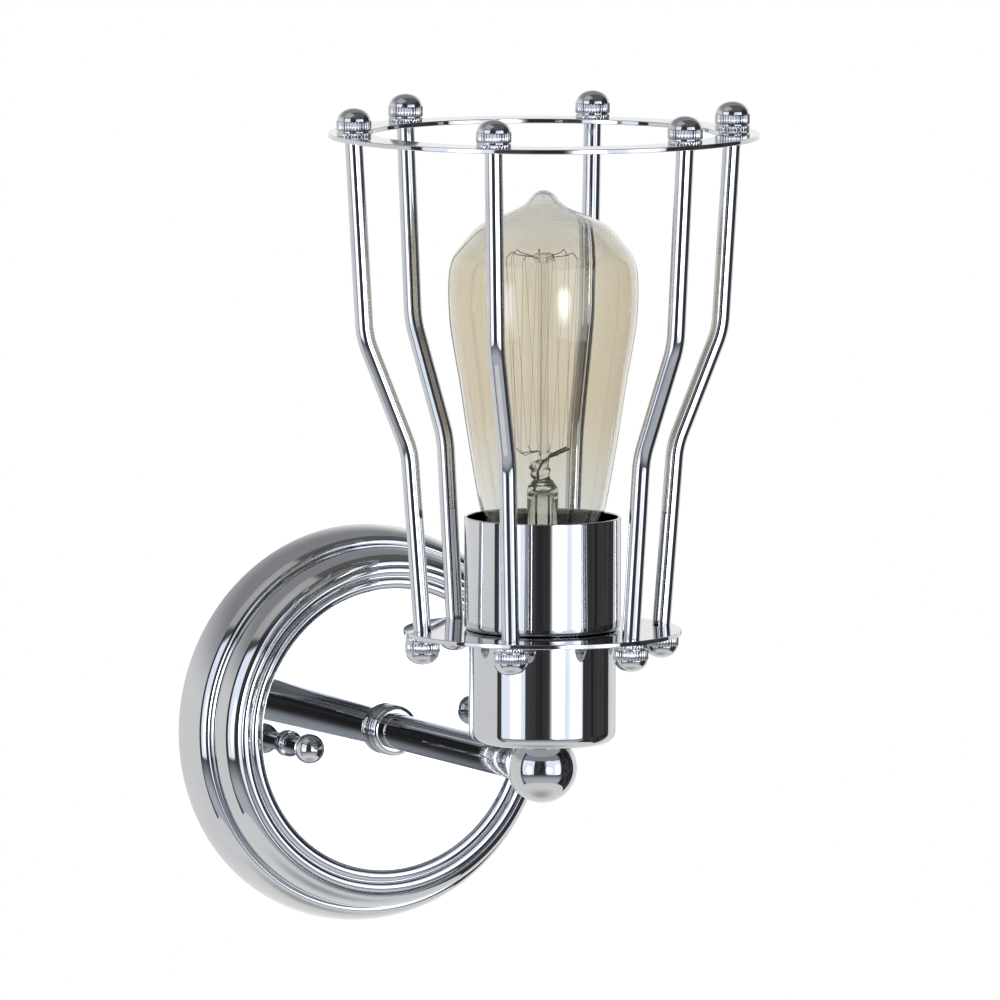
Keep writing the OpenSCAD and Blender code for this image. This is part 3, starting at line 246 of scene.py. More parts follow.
def tracePath(name, points):   # a plane shrunk to one vertex and drawn on from there, left in edit mode
    bpy.ops.object.select_all(action="DESELECT")
    bpy.ops.mesh.primitive_plane_add(size=0.001, location=points[0])
    piece = bpy.context.object
    piece.name = name
    bpy.ops.object.mode_set(mode="EDIT")
    bpy.ops.mesh.select_all(action="SELECT")
    bpy.ops.mesh.merge(type="CENTER")
    for before, after in zip(points, points[1:]):
        bpy.ops.mesh.extrude_region_move(TRANSFORM_OT_translate={"value": Vector(after) - Vector(before)})
    return piece


def spinPiece(name, outline, steps, closed=True):   # outline in mm: distance from the axis, height
    points = [(r * mm, 0, z * mm) for r, z in outline]
    piece = tracePath(name, points + points[:1] if closed else points)
    bpy.ops.mesh.select_all(action="SELECT")
    bpy.ops.mesh.spin(steps=steps, angle=2 * math.pi, center=(0, 0, 0), axis=(0, 0, 1))
    bpy.ops.mesh.select_all(action="SELECT")
    bpy.ops.mesh.remove_doubles(threshold=0.000001)
    bpy.ops.mesh.normals_make_consistent(inside=False)
    closeMesh()
    settle()
    return piece


def tubePiece(name, paths, width, ringSteps):   # round wire along each path, paths and width in mm
    tubes = []
    for path in paths:
        tube = tracePath(name, [tuple(value * mm for value in point) for point in path])
        closeMesh()
        bpy.ops.object.convert(target="CURVE")
        tube = bpy.context.object
        tube.data.dimensions = "3D"
        tube.data.bevel_depth = width * mm / 2
        tube.data.bevel_resolution = ringSteps
        tube.data.use_fill_caps = True
        bpy.ops.object.convert(target="MESH")
        tubes.append(bpy.context.object)
    return joinPieces(name, tubes)


def joinPieces(name, pieces):
    pickOnly(*pieces)
    if len(pieces) > 1:
        bpy.ops.object.join()
    piece = bpy.context.view_layer.objects.active
    piece.name = name
    settle()
    return piece


def movePiece(piece, location=(0, 0, 0), rotation=(0, 0, 0)):   # mm and degrees
    pickOnly(piece)
    piece.rotation_euler = [math.radians(angle) for angle in rotation]
    piece.location = [value * mm for value in location]
    settle()
    return piece


def copyPiece(piece, name):
    pickOnly(piece)
    bpy.ops.object.duplicate(linked=False)
    copied = bpy.context.object
    copied.name = name
    return copied


def editCorners(piece, chosen):   # opens the piece with some corners selected, one flag for each corner
    for corner, flag in zip(piece.data.vertices, chosen):
        corner.select = flag
    for part in list(piece.data.edges) + list(piece.data.polygons):
        part.select = False
    pickOnly(piece)
    bpy.context.tool_settings.mesh_select_mode = (True, False, False)
    bpy.ops.object.mode_set(mode="EDIT")


def drillHoles(piece, centres, width, low, high, rotation=(0, 0, 0)):   # straight holes, cut by a boolean
    drills = []
    for centre in centres:
        bpy.ops.object.select_all(action="DESELECT")
        bpy.ops.mesh.primitive_cylinder_add(vertices=48, radius=width * mm / 2, depth=(high - low) * mm)
        drills.append(movePiece(bpy.context.object, (centre[0], centre[1], (low + high) / 2)))
    drill = movePiece(joinPieces("drill", drills), rotation=rotation)
    pickOnly(piece)
    cut = piece.modifiers.new("holes", "BOOLEAN")
    cut.operation = "DIFFERENCE"
    cut.solver = "EXACT"
    cut.object = drill
    bpy.ops.object.modifier_apply(modifier=cut.name)
    bpy.data.objects.remove(drill)
    return piece


def finishPiece(piece, material, body, nodes, sharp=35):
    pickOnly(piece)
    bpy.ops.object.shade_smooth_by_angle(angle=math.radians(sharp))
    piece.data.materials.clear()
    piece.data.materials.append(material)
    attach(piece, body)
    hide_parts(*nodes)
    return piece


def arcPoints(x, z, width, height, first=0, last=90, steps=16):   # part of an ellipse, angles in degrees
    turns = [math.radians(first + (last - first) * i / steps) for i in range(steps + 1)]
    return [(x + width * math.cos(turn), z + height * math.sin(turn)) for turn in turns]


smallRounding = 0.6   # mm, below it four steps are enough
flatStrip = 0.08   # mm, short strips beside a rounding keep the flats flat


def roundOff(corners):   # closed outline whose corners are (distance, height) or (distance, height, rounding)
    outline = []
    for index, corner in enumerate(corners):
        here = Vector(corner[:2])
        rounding = corner[2] if len(corner) > 2 else 0
        if not rounding:
            outline.append(tuple(here))
            continue
        before = (Vector(corners[index - 1][:2]) - here).normalized()
        after = (Vector(corners[(index + 1) % len(corners)][:2]) - here).normalized()
        half = before.angle(after) / 2
        middle = here + (before + after).normalized() * rounding / math.sin(half)
        start = here + before * rounding / math.tan(half) - middle
        end = here + after * rounding / math.tan(half) - middle
        first = math.atan2(start.y, start.x)
        sweep = (math.atan2(end.y, end.x) - first + math.pi) % (2 * math.pi) - math.pi
        steps = 4 if rounding < smallRounding else 14
        arc = [first + sweep * i / steps for i in range(steps + 1)]
        outline.append(tuple(middle + start + before * flatStrip))
        outline += [
            (middle.x + rounding * math.cos(turn), middle.y + rounding * math.sin(turn)) for turn in arc
        ]
        outline.append(tuple(middle + end + after * flatStrip))
    return outline


def threadPoints(radius, depth, pitch, low, high):   # zigzag that reads as a thread when it is spun
    count = int((high - low) / pitch * 2)
    return [(radius - depth * (i % 2), low + (high - low) * i / count) for i in range(count + 1)]


# backplate: spun sheet with a curved side wall, a large roll, two beads and a flat face
plate = {
    "radius": 61.9, "sideWidth": 4.4, "sideDepth": 12.9, "lip": 0.9, "drop": 0.3,
    "rollWidth": 5.2, "depth": 22.2, "beadWidth": 3.4, "beadHeight": 1.2, "beadDrop": 0.5,
    "groove": 0.2, "wall": 1.0, "faceEdge": 0.3, "faceStart": 0.4, "underBead": 1.7,
    "armHole": 5.15, "studHoleWidth": 4.8, "studHoleSpan": (20, 24),
    "studs": ((34.84, 2.4363), (-34.84, -2.4363)),
    "dishRadius": 0.83,   # metres
}
sideIn = plate["radius"] - plate["sideWidth"]
rollIn = sideIn - plate["lip"] - plate["rollWidth"]
rollLow = plate["sideDepth"] - plate["drop"]
rollHigh = plate["depth"] + plate["drop"] - rollLow
beadHalf = plate["beadWidth"] / 2
beadLow = plate["depth"] - plate["beadDrop"]
beadOne = rollIn - plate["groove"] - beadHalf
beadTwo = beadOne - plate["groove"] - plate["beadWidth"]
faceRadius = beadTwo - beadHalf
faceEdge = plate["faceEdge"]
wall = plate["wall"]
plateOutline = (
    arcPoints(sideIn, 0, plate["sideWidth"], plate["sideDepth"], steps=24)
    + arcPoints(rollIn, rollLow, plate["rollWidth"], rollHigh, steps=28)
    + arcPoints(beadOne, beadLow, beadHalf, plate["beadHeight"], 0, 180, 24)
    + arcPoints(beadTwo, beadLow, beadHalf, plate["beadHeight"], 0, 180, 24)
    + arcPoints(faceRadius - faceEdge, plate["depth"] - faceEdge, faceEdge, faceEdge, 0, 90, 5)
    + [(faceRadius - plate["faceStart"], plate["depth"]), (plate["armHole"], plate["depth"])]
    + [(plate["armHole"], plate["depth"] - wall), (faceRadius, plate["depth"] - wall)]
    + [(faceRadius, beadLow - wall), (beadOne + plate["underBead"], beadLow - wall)]
    + arcPoints(rollIn, rollLow - wall, plate["rollWidth"] - wall, rollHigh, steps=16)[::-1]
    + arcPoints(sideIn, 0, plate["sideWidth"] - wall, plate["sideDepth"] - wall, steps=16)[::-1]
)
backplate = movePiece(spinPiece("backplateShell", plateOutline, 256), rotation=(90, 0, 0))
drillHoles(backplate, plate["studs"], plate["studHoleWidth"], *plate["studHoleSpan"], rotation=(90, 0, 0))
# the same mirror, its face drawn in slightly where the arm's nut pulls on it
plateChrome = makeFinish("polishedPlateChrome", *sheetChrome, more=metal)
tree = plateChrome.node_tree
apart = addNode(tree, "ShaderNodeSeparateXYZ", {0: addNode(tree, "ShaderNodeTexCoord").outputs["Object"]})
squares = [
    addNode(tree, "ShaderNodeMath", {0: apart.outputs[part], 1: apart.outputs[part]}, operation="MULTIPLY")
    for part in ("X", "Z")
]
total = addNode(tree, "ShaderNodeMath", {0: squares[0].outputs[0], 1: squares[1].outputs[0]}, operation="ADD")
inFace = addNode(tree, "ShaderNodeMath", {
    0: total.outputs[0], 1: (faceRadius * mm) ** 2,
}, operation="MINIMUM")
height = addNode(tree, "ShaderNodeMath", {
    0: inFace.outputs[0], 1: 0.5 / plate["dishRadius"],
}, operation="MULTIPLY")
dish = addNode(tree, "ShaderNodeBump", {"Strength": 1.0, "Distance": 1.0, "Height": height.outputs[0]})
fine = next(node for node in tree.nodes if node.type == "BUMP")
tree.links.new(dish.outputs["Normal"], fine.inputs["Normal"])
finishPiece(backplate, plateChrome, "fixture", ["backplate"])
print("backplate done")

# canopy nuts: a turned ball on a neck with a thin flange, modelled once
knob = {
    "flange": 4.05, "flangeHigh": 1.2, "bevel": 0.2, "edge": 0.25, "fillet": 0.3, "neck": 2.7,
    "ball": 4.6, "ballHigh": 14.2, "bore": 2.05, "boreHigh": 9.0, "offPlate": 0.2,
}
ballFoot = math.sqrt(knob["ball"] ** 2 - knob["neck"] ** 2)
knobOutline = (
    [(0, knob["boreHigh"]), (knob["bore"], knob["boreHigh"]), (knob["bore"], 0)]
    + [(knob["flange"] - knob["bevel"], 0), (knob["flange"], knob["bevel"])]
    + [(knob["flange"], knob["flangeHigh"] - knob["edge"])]
    + arcPoints(knob["flange"] - knob["edge"], knob["flangeHigh"] - knob["edge"],
                knob["edge"], knob["edge"], 0, 90, 4)
    + arcPoints(knob["neck"] + knob["fillet"], knob["flangeHigh"] + knob["fillet"],
                knob["fillet"], knob["fillet"], 270, 180, 4)
    + arcPoints(0, knob["ballHigh"], knob["ball"], knob["ball"],
                -math.degrees(math.atan2(ballFoot, knob["neck"])), 90, 40)
)
knobOutline[-1] = (0, knob["ballHigh"] + knob["ball"])
knobModel = spinPiece("canopyNutRight", knobOutline, 72, closed=False)
for side, (x, z), piece in (
    ("right", plate["studs"][0], knobModel),
    ("left", plate["studs"][1], copyPiece(knobModel, "canopyNutLeft")),
):
    movePiece(piece, (x, -plate["depth"] - knob["offPlate"], z), (90, 0, 0))
    finishPiece(piece, turnedChrome, "canopy_nut_" + side, ["canopy_nut_" + side])
print("canopy nuts done")

# arm: tube with threaded tails, and the ridged collar at the plate
arm = {
    "radius": 5.55, "tail": 5.0, "bore": 3.6, "back": 14.8, "shoulder": 23.4, "end": 114.5,
    "front": 120.1, "bevel": 0.15, "threadDeep": 0.35, "pitch": 1.0, "threadEnd": 0.2,
}
armOutline = (
    [(arm["bore"], arm["back"])]
    + threadPoints(arm["tail"], arm["threadDeep"], arm["pitch"],
                   arm["back"] + arm["threadEnd"], arm["shoulder"] - arm["threadEnd"])
    + [(arm["tail"], arm["shoulder"]), (arm["radius"] - arm["bevel"], arm["shoulder"])]
    + [(arm["radius"], arm["shoulder"] + arm["bevel"]), (arm["radius"], arm["end"] - arm["bevel"])]
    + [(arm["radius"] - arm["bevel"], arm["end"]), (arm["tail"], arm["end"])]
    + [(arm["tail"], arm["front"]), (arm["bore"], arm["front"])]
)
armTube = movePiece(spinPiece("armTube", armOutline, 96), rotation=(90, 0, 0))
finishPiece(armTube, turnedChrome, "fixture", ["arm_tube"])

collar = {
    "radius": 7.85, "ridge": 1.3, "groove": 0.5, "grooveWide": 0.6, "grooveLean": 0.02, "nose": 1.6,
    "long": 4.6, "edge": 0.25, "ridgeRound": 0.3, "grooveRound": 0.08,
    "pipeHole": 5.15, "armHole": 5.65, "lip": 1.2, "at": 22.2,
}
ridgeTwo = collar["ridge"] + collar["grooveWide"]
noseLow = ridgeTwo + collar["ridge"]
grooveFloor = collar["radius"] - collar["groove"]
collarOutline = roundOff([
    (collar["pipeHole"], 0), (collar["radius"], 0, collar["edge"]),
    (collar["radius"], collar["ridge"], collar["ridgeRound"]),
    (grooveFloor, collar["ridge"] + collar["grooveLean"], collar["grooveRound"]),
    (grooveFloor, ridgeTwo - collar["grooveLean"], collar["grooveRound"]),
    (collar["radius"], ridgeTwo, collar["ridgeRound"]),
])
collarOutline += arcPoints(
    collar["radius"] - collar["nose"], noseLow, collar["nose"], collar["long"] - noseLow, 0, 90, 14)
collarOutline += [
    (collar["armHole"], collar["long"]), (collar["armHole"], collar["lip"]),
    (collar["pipeHole"], collar["lip"]),
]
armCollar = movePiece(spinPiece("armCollar", collarOutline, 96), (0, -collar["at"], 0), (90, 0, 0))
finishPiece(armCollar, turnedChrome, "fixture", ["arm_collar"])
print("arm and collar done")

# ball at the arm's end: spun about the arm's axis, then cut flat for the cup's seat
endBall = {
    "radius": 10.55, "boss": 6.7, "bossOut": 0.35, "edge": 0.25, "edgeMiddle": 0.07, "bore": 5.05,
    "boreDeep": 5.6, "seat": 8.1, "reach": 125.4, "nippleHoleWidth": 10.1, "nippleHoleSpan": (2.0, 9.0),
}
bossFoot = math.degrees(math.acos(endBall["boss"] / endBall["radius"]))
bossEnd = endBall["radius"] + endBall["bossOut"]
boreFloor = bossEnd - endBall["boreDeep"]
ballOutline = arcPoints(0, 0, endBall["radius"], endBall["radius"], -90, bossFoot, 56)
ballOutline[0] = (0, -endBall["radius"])
ballOutline += [
    (endBall["boss"], bossEnd - endBall["edge"]),
    (endBall["boss"] - endBall["edgeMiddle"], bossEnd - endBall["edgeMiddle"]),
    (endBall["boss"] - endBall["edge"], bossEnd), (endBall["bore"], bossEnd),
    (endBall["bore"], boreFloor), (0, boreFloor),
]
armBall = movePiece(
    spinPiece("armEndBall", ballOutline, 112, closed=False), (0, -endBall["reach"], 0), (-90, 0, 0))
openMesh(armBall)
bpy.ops.mesh.bisect(
    plane_co=(0, -endBall["reach"] * mm, endBall["seat"] * mm), plane_no=(0, 0, 1),
    use_fill=True, clear_outer=True)
closeMesh()
drillHoles(armBall, [(0, -endBall["reach"])], endBall["nippleHoleWidth"], *endBall["nippleHoleSpan"])
finishPiece(armBall, turnedChrome, "fixture", ["arm_end_ball"])
print("end ball done")

# lower cup and sleeve: drawn cups with rolled rims
axis = (0, -endBall["reach"], 0)
cup = {"radius": 22.2, "low": 8.1, "high": 41.05, "wall": 0.9, "corner": 3.5, "rim": 0.2, "hole": 5.15}
sleeve = {"radius": 23.7, "low": 42.45, "high": 76.75, "wall": 0.8, "corner": 1.5, "rim": 0.3, "hole": 19.3}
for name, node, sizes in (("lowerCup", "socket_cup", cup), ("upperSleeve", "bulb_sleeve", sleeve)):
    inside = sizes["radius"] - sizes["wall"]
    floorTop = sizes["low"] + sizes["wall"]
    drawn = spinPiece(name, roundOff([
        (sizes["hole"], sizes["low"]), (sizes["radius"], sizes["low"], sizes["corner"]),
        (sizes["radius"], sizes["high"], sizes["rim"]), (inside, sizes["high"], sizes["rim"]),
        (inside, floorTop, sizes["corner"] - sizes["wall"]), (sizes["hole"], floorTop),
    ]), 144)
    finishPiece(movePiece(drawn, axis), polishedChrome, "fixture", [node])
print("cup and sleeve done")

# cage: lower disc, top ring and six bent rods
cage = {
    "rodAngles": [-41.8 - 90 + 60 * k for k in range(6)],
    "lowRadius": 37.5, "topRadius": 59.2, "kneeLow": (41.7, 97.55), "kneeTop": (55.7, 132.45),
    "bend": 26.0, "rodWide": 5.4, "discTop": 42.45, "ringLow": 191.8, "overshoot": 0.6,
    "holeWide": 4.3, "holeOver": 1, "sheetEdge": 0.25, "topTail": (191.6, 197.6),
    "lowTail": (36.65, 42.65), "tail": 2.0, "threadDeep": 0.3, "pitch": 0.7, "threadEnd": 0.1,
}
disc = {"inner": 19.3, "outer": 42.15, "low": 41.05, "high": 42.45}
ring = {"inner": 52.59, "outer": 65.09, "low": 191.8, "high": 193.2}


def roundPlaces(radius):   # where the rods stand round the cage's axis
    turns = [math.radians(angle) for angle in cage["rodAngles"]]
    return [(radius * math.cos(turn), radius * math.sin(turn)) for turn in turns]


for name, node, sizes, radius in (
    ("cageLowerDisc", "cage_lower_disc", disc, cage["lowRadius"]),
    ("cageTopRing", "cage_top_ring", ring, cage["topRadius"]),
):
    edge = cage["sheetEdge"]
    flat = spinPiece(name, roundOff([
        (sizes["inner"], sizes["low"], edge), (sizes["outer"], sizes["low"], edge),
        (sizes["outer"], sizes["high"], edge), (sizes["inner"], sizes["high"], edge),
    ]), 180)
    drillHoles(flat, roundPlaces(radius), cage["holeWide"],
               sizes["low"] - cage["holeOver"], sizes["high"] + cage["holeOver"])
    movePiece(flat, axis)
    finishPiece(flat, polishedChrome, "fixture", [node])


def bendPoints(corner, leanIn, leanOut, radius, steps=14):   # round bend between two leans from upright
    turn = leanOut - leanIn
    side = math.copysign(1, turn)
    back = radius * math.tan(abs(turn) / 2)
    start = Vector(corner) - back * Vector((math.sin(leanIn), math.cos(leanIn)))
    centre = start + side * radius * Vector((math.cos(leanIn), -math.sin(leanIn)))
    leans = [leanIn + turn * i / steps for i in range(steps + 1)]
    return [centre - side * radius * Vector((math.cos(lean), -math.sin(lean))) for lean in leans]


rodStops = [
    Vector((cage["lowRadius"], cage["discTop"])), Vector(cage["kneeLow"]),
    Vector(cage["kneeTop"]), Vector((cage["topRadius"], cage["ringLow"])),
]
leans = [math.atan2(after.x - before.x, after.y - before.y) for before, after in zip(rodStops, rodStops[1:])]
overLow = rodStops[0] - (rodStops[1] - rodStops[0]).normalized() * cage["overshoot"]
overTop = rodStops[3] + (rodStops[3] - rodStops[2]).normalized() * cage["overshoot"]
rodLine = (
    [overLow] + bendPoints(rodStops[1], leans[0], leans[1], cage["bend"])
    + bendPoints(rodStops[2], leans[1], leans[2], cage["bend"]) + [overTop]
)
rodModel = tubePiece("cageRod1", [[(point.x, 0, point.y) for point in rodLine]], cage["rodWide"], 10)
bpy.ops.object.mode_set(mode="EDIT")
for height, clear in ((cage["discTop"], {"clear_inner": True}), (cage["ringLow"], {"clear_outer": True})):
    bpy.ops.mesh.select_all(action="SELECT")
    bpy.ops.mesh.bisect(plane_co=(0, 0, height * mm), plane_no=(0, 0, 1), use_fill=True, **clear)
closeMesh()
tails = []
for radius, (low, high) in ((cage["topRadius"], cage["topTail"]), (cage["lowRadius"], cage["lowTail"])):
    thread = threadPoints(
        cage["tail"], cage["threadDeep"], cage["pitch"], low + cage["threadEnd"], high - cage["threadEnd"])
    tail = spinPiece("rodTail", [(0, low)] + thread + [(0, high)], 32, closed=False)
    tails.append(movePiece(tail, (radius, 0, 0)))
rodModel = joinPieces("cageRod1", tails + [rodModel])
rods = [rodModel] + [copyPiece(rodModel, f"cageRod{k + 1}") for k in range(1, 6)]
for k, rod in enumerate(rods):
    movePiece(rod, axis, (0, 0, cage["rodAngles"][k]))
    finishPiece(rod, turnedChrome, "fixture", [f"cage_rod_{k + 1}"])
print("disc, ring and rods done")

# ball nuts: base ring, groove, fluted band and dome, modelled once and copied twelve times
nut = {
    "base": 5.19, "baseHigh": 1.18, "groove": 4.93, "grooveHigh": 1.6, "band": 5.3, "bandHigh": 4.62,
    "dome": 5.06, "high": 8.4, "bore": 2.05, "boreHigh": 5.0, "bevel": 0.15,
    "baseEase": ((0, -0.2), (-0.07, -0.05)),   # rounds the base ring's upper edge
    "bandLow": 0.1, "bandTop": 0.12,   # how far the band's edges step in
    "flutes": 30, "fluteDepths": (0.992, 0.945, 0.992), "fluteReach": 0.1,   # rounded crest, narrow root
}
bevel = nut["bevel"]
nutOutline = (
    [(0, nut["boreHigh"]), (nut["bore"], nut["boreHigh"]), (nut["bore"], 0)]
    + [(nut["base"] - bevel, 0), (nut["base"], bevel)]
    + [(nut["base"] + across, nut["baseHigh"] + up) for across, up in nut["baseEase"]]
    + [(nut["groove"], nut["baseHigh"]), (nut["groove"], nut["grooveHigh"])]
    + [(nut["band"] - nut["bandLow"], nut["grooveHigh"])]
    + [(nut["band"], nut["grooveHigh"] + bevel), (nut["band"], nut["bandHigh"] - bevel)]
    + [(nut["band"] - nut["bandTop"], nut["bandHigh"])]
    + arcPoints(0, nut["bandHigh"], nut["dome"], nut["high"] - nut["bandHigh"], 0, 90, 20)
)
nutOutline[-1] = (0, nut["high"])
nutModel = spinPiece("ballNut", nutOutline, 4 * nut["flutes"], closed=False)
bandReach = (nut["base"] - nut["fluteReach"]) * mm
bandHeights = (0.0001, nut["bandHigh"] * mm + 0.00001)   # the base ring is fluted too


def fluteCorner(place):   # which of a flute's four corners this is, or -1 away from the band
    inBand = math.hypot(place.x, place.y) > bandReach and bandHeights[0] < place.z < bandHeights[1]
    return round(math.degrees(math.atan2(place.y, place.x)) * nut["flutes"] / 90) % 4 if inBand else -1


for phase, depth in enumerate(nut["fluteDepths"], 1):
    editCorners(nutModel, [fluteCorner(corner.co) == phase for corner in nutModel.data.vertices])
    bpy.ops.transform.resize(value=(depth, depth, 1), center_override=(0, 0, 0))
    closeMesh()
for name, node, radius, height, turned in (
    ("cageTopNuts", "cage_top_nuts", cage["topRadius"], ring["high"], 0),
    ("cageBottomNuts", "cage_bottom_nuts", cage["lowRadius"], disc["low"], 180),
):
    nuts = [
        movePiece(copyPiece(nutModel, "nut"), (x, y + axis[1], height), (turned, 0, angle))
        for (x, y), angle in zip(roundPlaces(radius), cage["rodAngles"])
    ]
    finishPiece(joinPieces(name, nuts), turnedChrome, "fixture", [node], sharp=50)
bpy.data.objects.remove(nutModel)
print("ball nuts done")

# bulb glass: blown from a smooth outline, open at the neck
glass = {
    "neck": 12.35, "capTop": 58.3, "tip": 175.7, "radius": 28.7, "wall": 0.8, "neckIn": 5.0, "innerTop": 0.3,
    "low": ((0.0697, 0.03), (0.1662, 0.075), (0.3944, 0.174), (0.6051, 0.335),
            (0.7859, 0.50), (0.8771, 0.572), (0.9754, 0.662), (1, 0.756)),
    "top": ((0.972, 0.815), (0.89, 0.85), (0.69, 0.906), (0.51, 0.929), (0.39, 0.941),
            (0.279, 0.9523), (0.209, 0.9625), (0.16, 0.9744), (0.125, 0.9851), (0.084, 0.994),
            (0.049, 0.9979), (0.02, 0.9997), (0, 1)),
}


def smoothPath(points, steps):   # curve through all the points
    path = []
    for i in range(len(points) - 1):
        a, b, c, d = (Vector(points[min(max(j, 0), len(points) - 1)]) for j in (i - 1, i, i + 1, i + 2))
        for k in range(steps):
            t = k / steps
            path.append((2 * b + (c - a) * t + (2 * a - 5 * b + 4 * c - d) * t * t
                         + (3 * b - a - 3 * c + d) * t ** 3) / 2)
    return path + [Vector(points[-1])]


glassHigh = glass["tip"] - glass["capTop"]
glassStops = [(glass["neck"], -glass["neckIn"]), (glass["neck"], 0)]
glassStops += [
    (glass["neck"] + share * (glass["radius"] - glass["neck"]), height * glassHigh)
    for share, height in glass["low"]
]
glassStops += [(share * glass["radius"], height * glassHigh) for share, height in glass["top"]]
outer = smoothPath(glassStops, 8)
inner = []
for i in range(len(outer) - 1):
    along = (outer[i + 1] - outer[max(i - 1, 0)]).normalized()
    inner.append(outer[i] + glass["wall"] * Vector((-along.y, along.x)))
outline = [(max(point.x, 0), point.y) for point in outer[::-1]]
outline += [(point.x, point.y) for point in inner if point.x > glass["innerTop"]]
outline.append((0, glassHigh - glass["wall"]))
bulbGlass = movePiece(
    spinPiece("bulbGlass", outline, 128, closed=False), (axis[0], axis[1], glass["capTop"]))
finishPiece(bulbGlass, stainedGlass, "bulb", ["bulb_glass"], sharp=60)
print("bulb glass done")

# stem: flared tube pinched flat at its press, then the rod and its button
stem = {   # the press as radius and height over the tube's top
    "flare": 11.0, "low": 53.3, "neckHigh": 64.3, "flareCurve": 1.8, "tube": 4.75, "top": 87.2, "wall": 0.9,
    "press": ((4.75, -3), (4.65, -1.6), (4.1, -0.4), (2.9, 0.7), (2.6, 1.5), (3.45, 3.1), (2.8, 4.3),
              (3.3, 5.5), (2.1, 6.7), (0, 7)),
    "inside": ((0, -1.9), (2.4, -2.5), (3.85, -4)), "pressFrom": 0.9, "pressFlat": 0.55, "pressTurn": 14,
    "rod": 1.7, "rodLow": 92.7, "rodTop": 156.7, "button": 3.2, "buttonHigh": 2.6,
}
flareOut = [
    (stem["tube"] + (stem["flare"] - stem["tube"]) * (1 - t / 8) ** stem["flareCurve"],
     stem["low"] + (stem["neckHigh"] - stem["low"]) * t / 8) for t in range(9)
]
pressOut = smoothPath([(radius, stem["top"] + rise) for radius, rise in stem["press"]], 4)
# up outside to the press's tip, back down inside and out round the flare
stemOutline = flareOut + [tuple(point) for point in pressOut]
stemOutline += [(radius, stem["top"] + rise) for radius, rise in stem["inside"]]
stemOutline += [(radius - stem["wall"], height) for radius, height in flareOut[::-1]]
stemTube = spinPiece("stemTube", stemOutline, 64)
pressStart = (stem["top"] + stem["pressFrom"]) * mm
editCorners(stemTube, [corner.co.z > pressStart for corner in stemTube.data.vertices])
bpy.ops.transform.resize(value=(1, stem["pressFlat"], 1), center_override=(0, 0, 0))
bpy.ops.transform.rotate(
    value=math.radians(stem["pressTurn"]), orient_axis="Y", center_override=(0, 0, stem["top"] * mm))
closeMesh()
half = stem["buttonHigh"] / 2
rodOutline = (
    [(0, stem["rodLow"]), (stem["rod"], stem["rodLow"]), (stem["rod"], stem["rodTop"] - stem["buttonHigh"])]
    + arcPoints(stem["button"] - half, stem["rodTop"] - half, half, half, -80, 90, 12)
    + [(0, stem["rodTop"])]
)
glassRod = spinPiece("glassRod", rodOutline, 48, closed=False)
bulbStem = movePiece(joinPieces("bulbStem", [glassRod, stemTube]), axis)
finishPiece(bulbStem, stemGlass, "bulb", ["bulb_stem"], sharp=60)
print("stem done")

# hooks, filament and lead-in wires
wires = {
    "count": 7, "turn": 330.0, "topRadius": 11.5, "lowRadius": 8.5, "topHigh": 155.4, "lowHigh": 96.6,
    "tip": 1.6, "hookWide": 0.26, "threadWide": 0.1, "leadWide": 0.7, "loop": 0.9, "gap": 0.05,
    # up the stem and through the press, then out to the thread's two ends
    "leadOne": ((2.1, 0, 66.3), (2.1, 0, 84.5), (1.6, 0, 87.5), (1.9, 0.2, 90.5), (1.5, -0.2, 92.6),
                (2.2, 0, 94.9), (3.5, 0, 95.7)),
    "leadTwo": ((-2.1, 0, 66.3), (-2.1, 0, 84.5), (-1.6, 0, 87.5), (-1.8, -0.2, 90.5), (-1.2, -0.9, 92.6),
                (0.6, -2.1, 94.7), (2.6, -2.4, 95.4)),
}
topTurns = [(i + 0.5) * wires["turn"] / wires["count"] for i in range(wires["count"])]
lowTurns = [i * wires["turn"] / wires["count"] for i in range(wires["count"] + 1)]
tip = wires["tip"]
lowThread = wires["lowHigh"] + tip / 2   # where the thread hangs in the lower hooks
hookGap = (wires["hookWide"] + wires["threadWide"]) / 2 + wires["gap"]
leadGap = (wires["leadWide"] + wires["threadWide"]) / 2 + wires["gap"]


def aroundAxis(points, turn):   # points (distance, height) in the upright plane at a turn
    turn = math.radians(turn)
    return [(r * math.cos(turn), r * math.sin(turn), z) for r, z in points]


def hookPath(inner, outer, turn, rise, curl):   # from the glass out to the thread, curled at its end
    stops = [inner, (outer[0] - 2 * tip, inner[1] + rise), (outer[0] - tip, inner[1] + curl), outer]
    return aroundAxis([(point.x, point.y) for point in smoothPath(stops, 5)], turn)


hooks = [
    hookPath((stem["button"] + wires["gap"], wires["topHigh"]),
             (wires["topRadius"] - hookGap, wires["topHigh"]), turn, tip / 2, tip)
    for turn in topTurns
]
hooks += [
    hookPath((stem["rod"] + wires["gap"], wires["lowHigh"]),
             (wires["lowRadius"] - hookGap, lowThread), turn, -tip / 4, -tip / 2)
    for turn in lowTurns[1:-1]
]
hookWires = movePiece(tubePiece("filamentHooks", hooks, wires["hookWide"], 2), axis)
finishPiece(hookWires, molybdenumWire, "bulb", ["filament_supports"], sharp=60)

threadStops = []
for i in range(2 * wires["count"] + 1):
    radius = wires["lowRadius"] if i % 2 == 0 else wires["topRadius"]
    turn = lowTurns[i // 2] if i % 2 == 0 else topTurns[(i - 1) // 2]
    height = lowThread if i % 2 == 0 else wires["topHigh"]
    half = math.degrees(math.atan(wires["loop"] / 2 / radius))
    for shift in ((0,) if i in (0, 2 * wires["count"]) else (-half, half)):
        threadStops += aroundAxis([(radius, height)], turn + shift)
filament = movePiece(tubePiece("filamentThread", [threadStops], wires["threadWide"], 2), axis)
finishPiece(filament, filamentThread, "bulb", ["bulb_filament"], sharp=60)

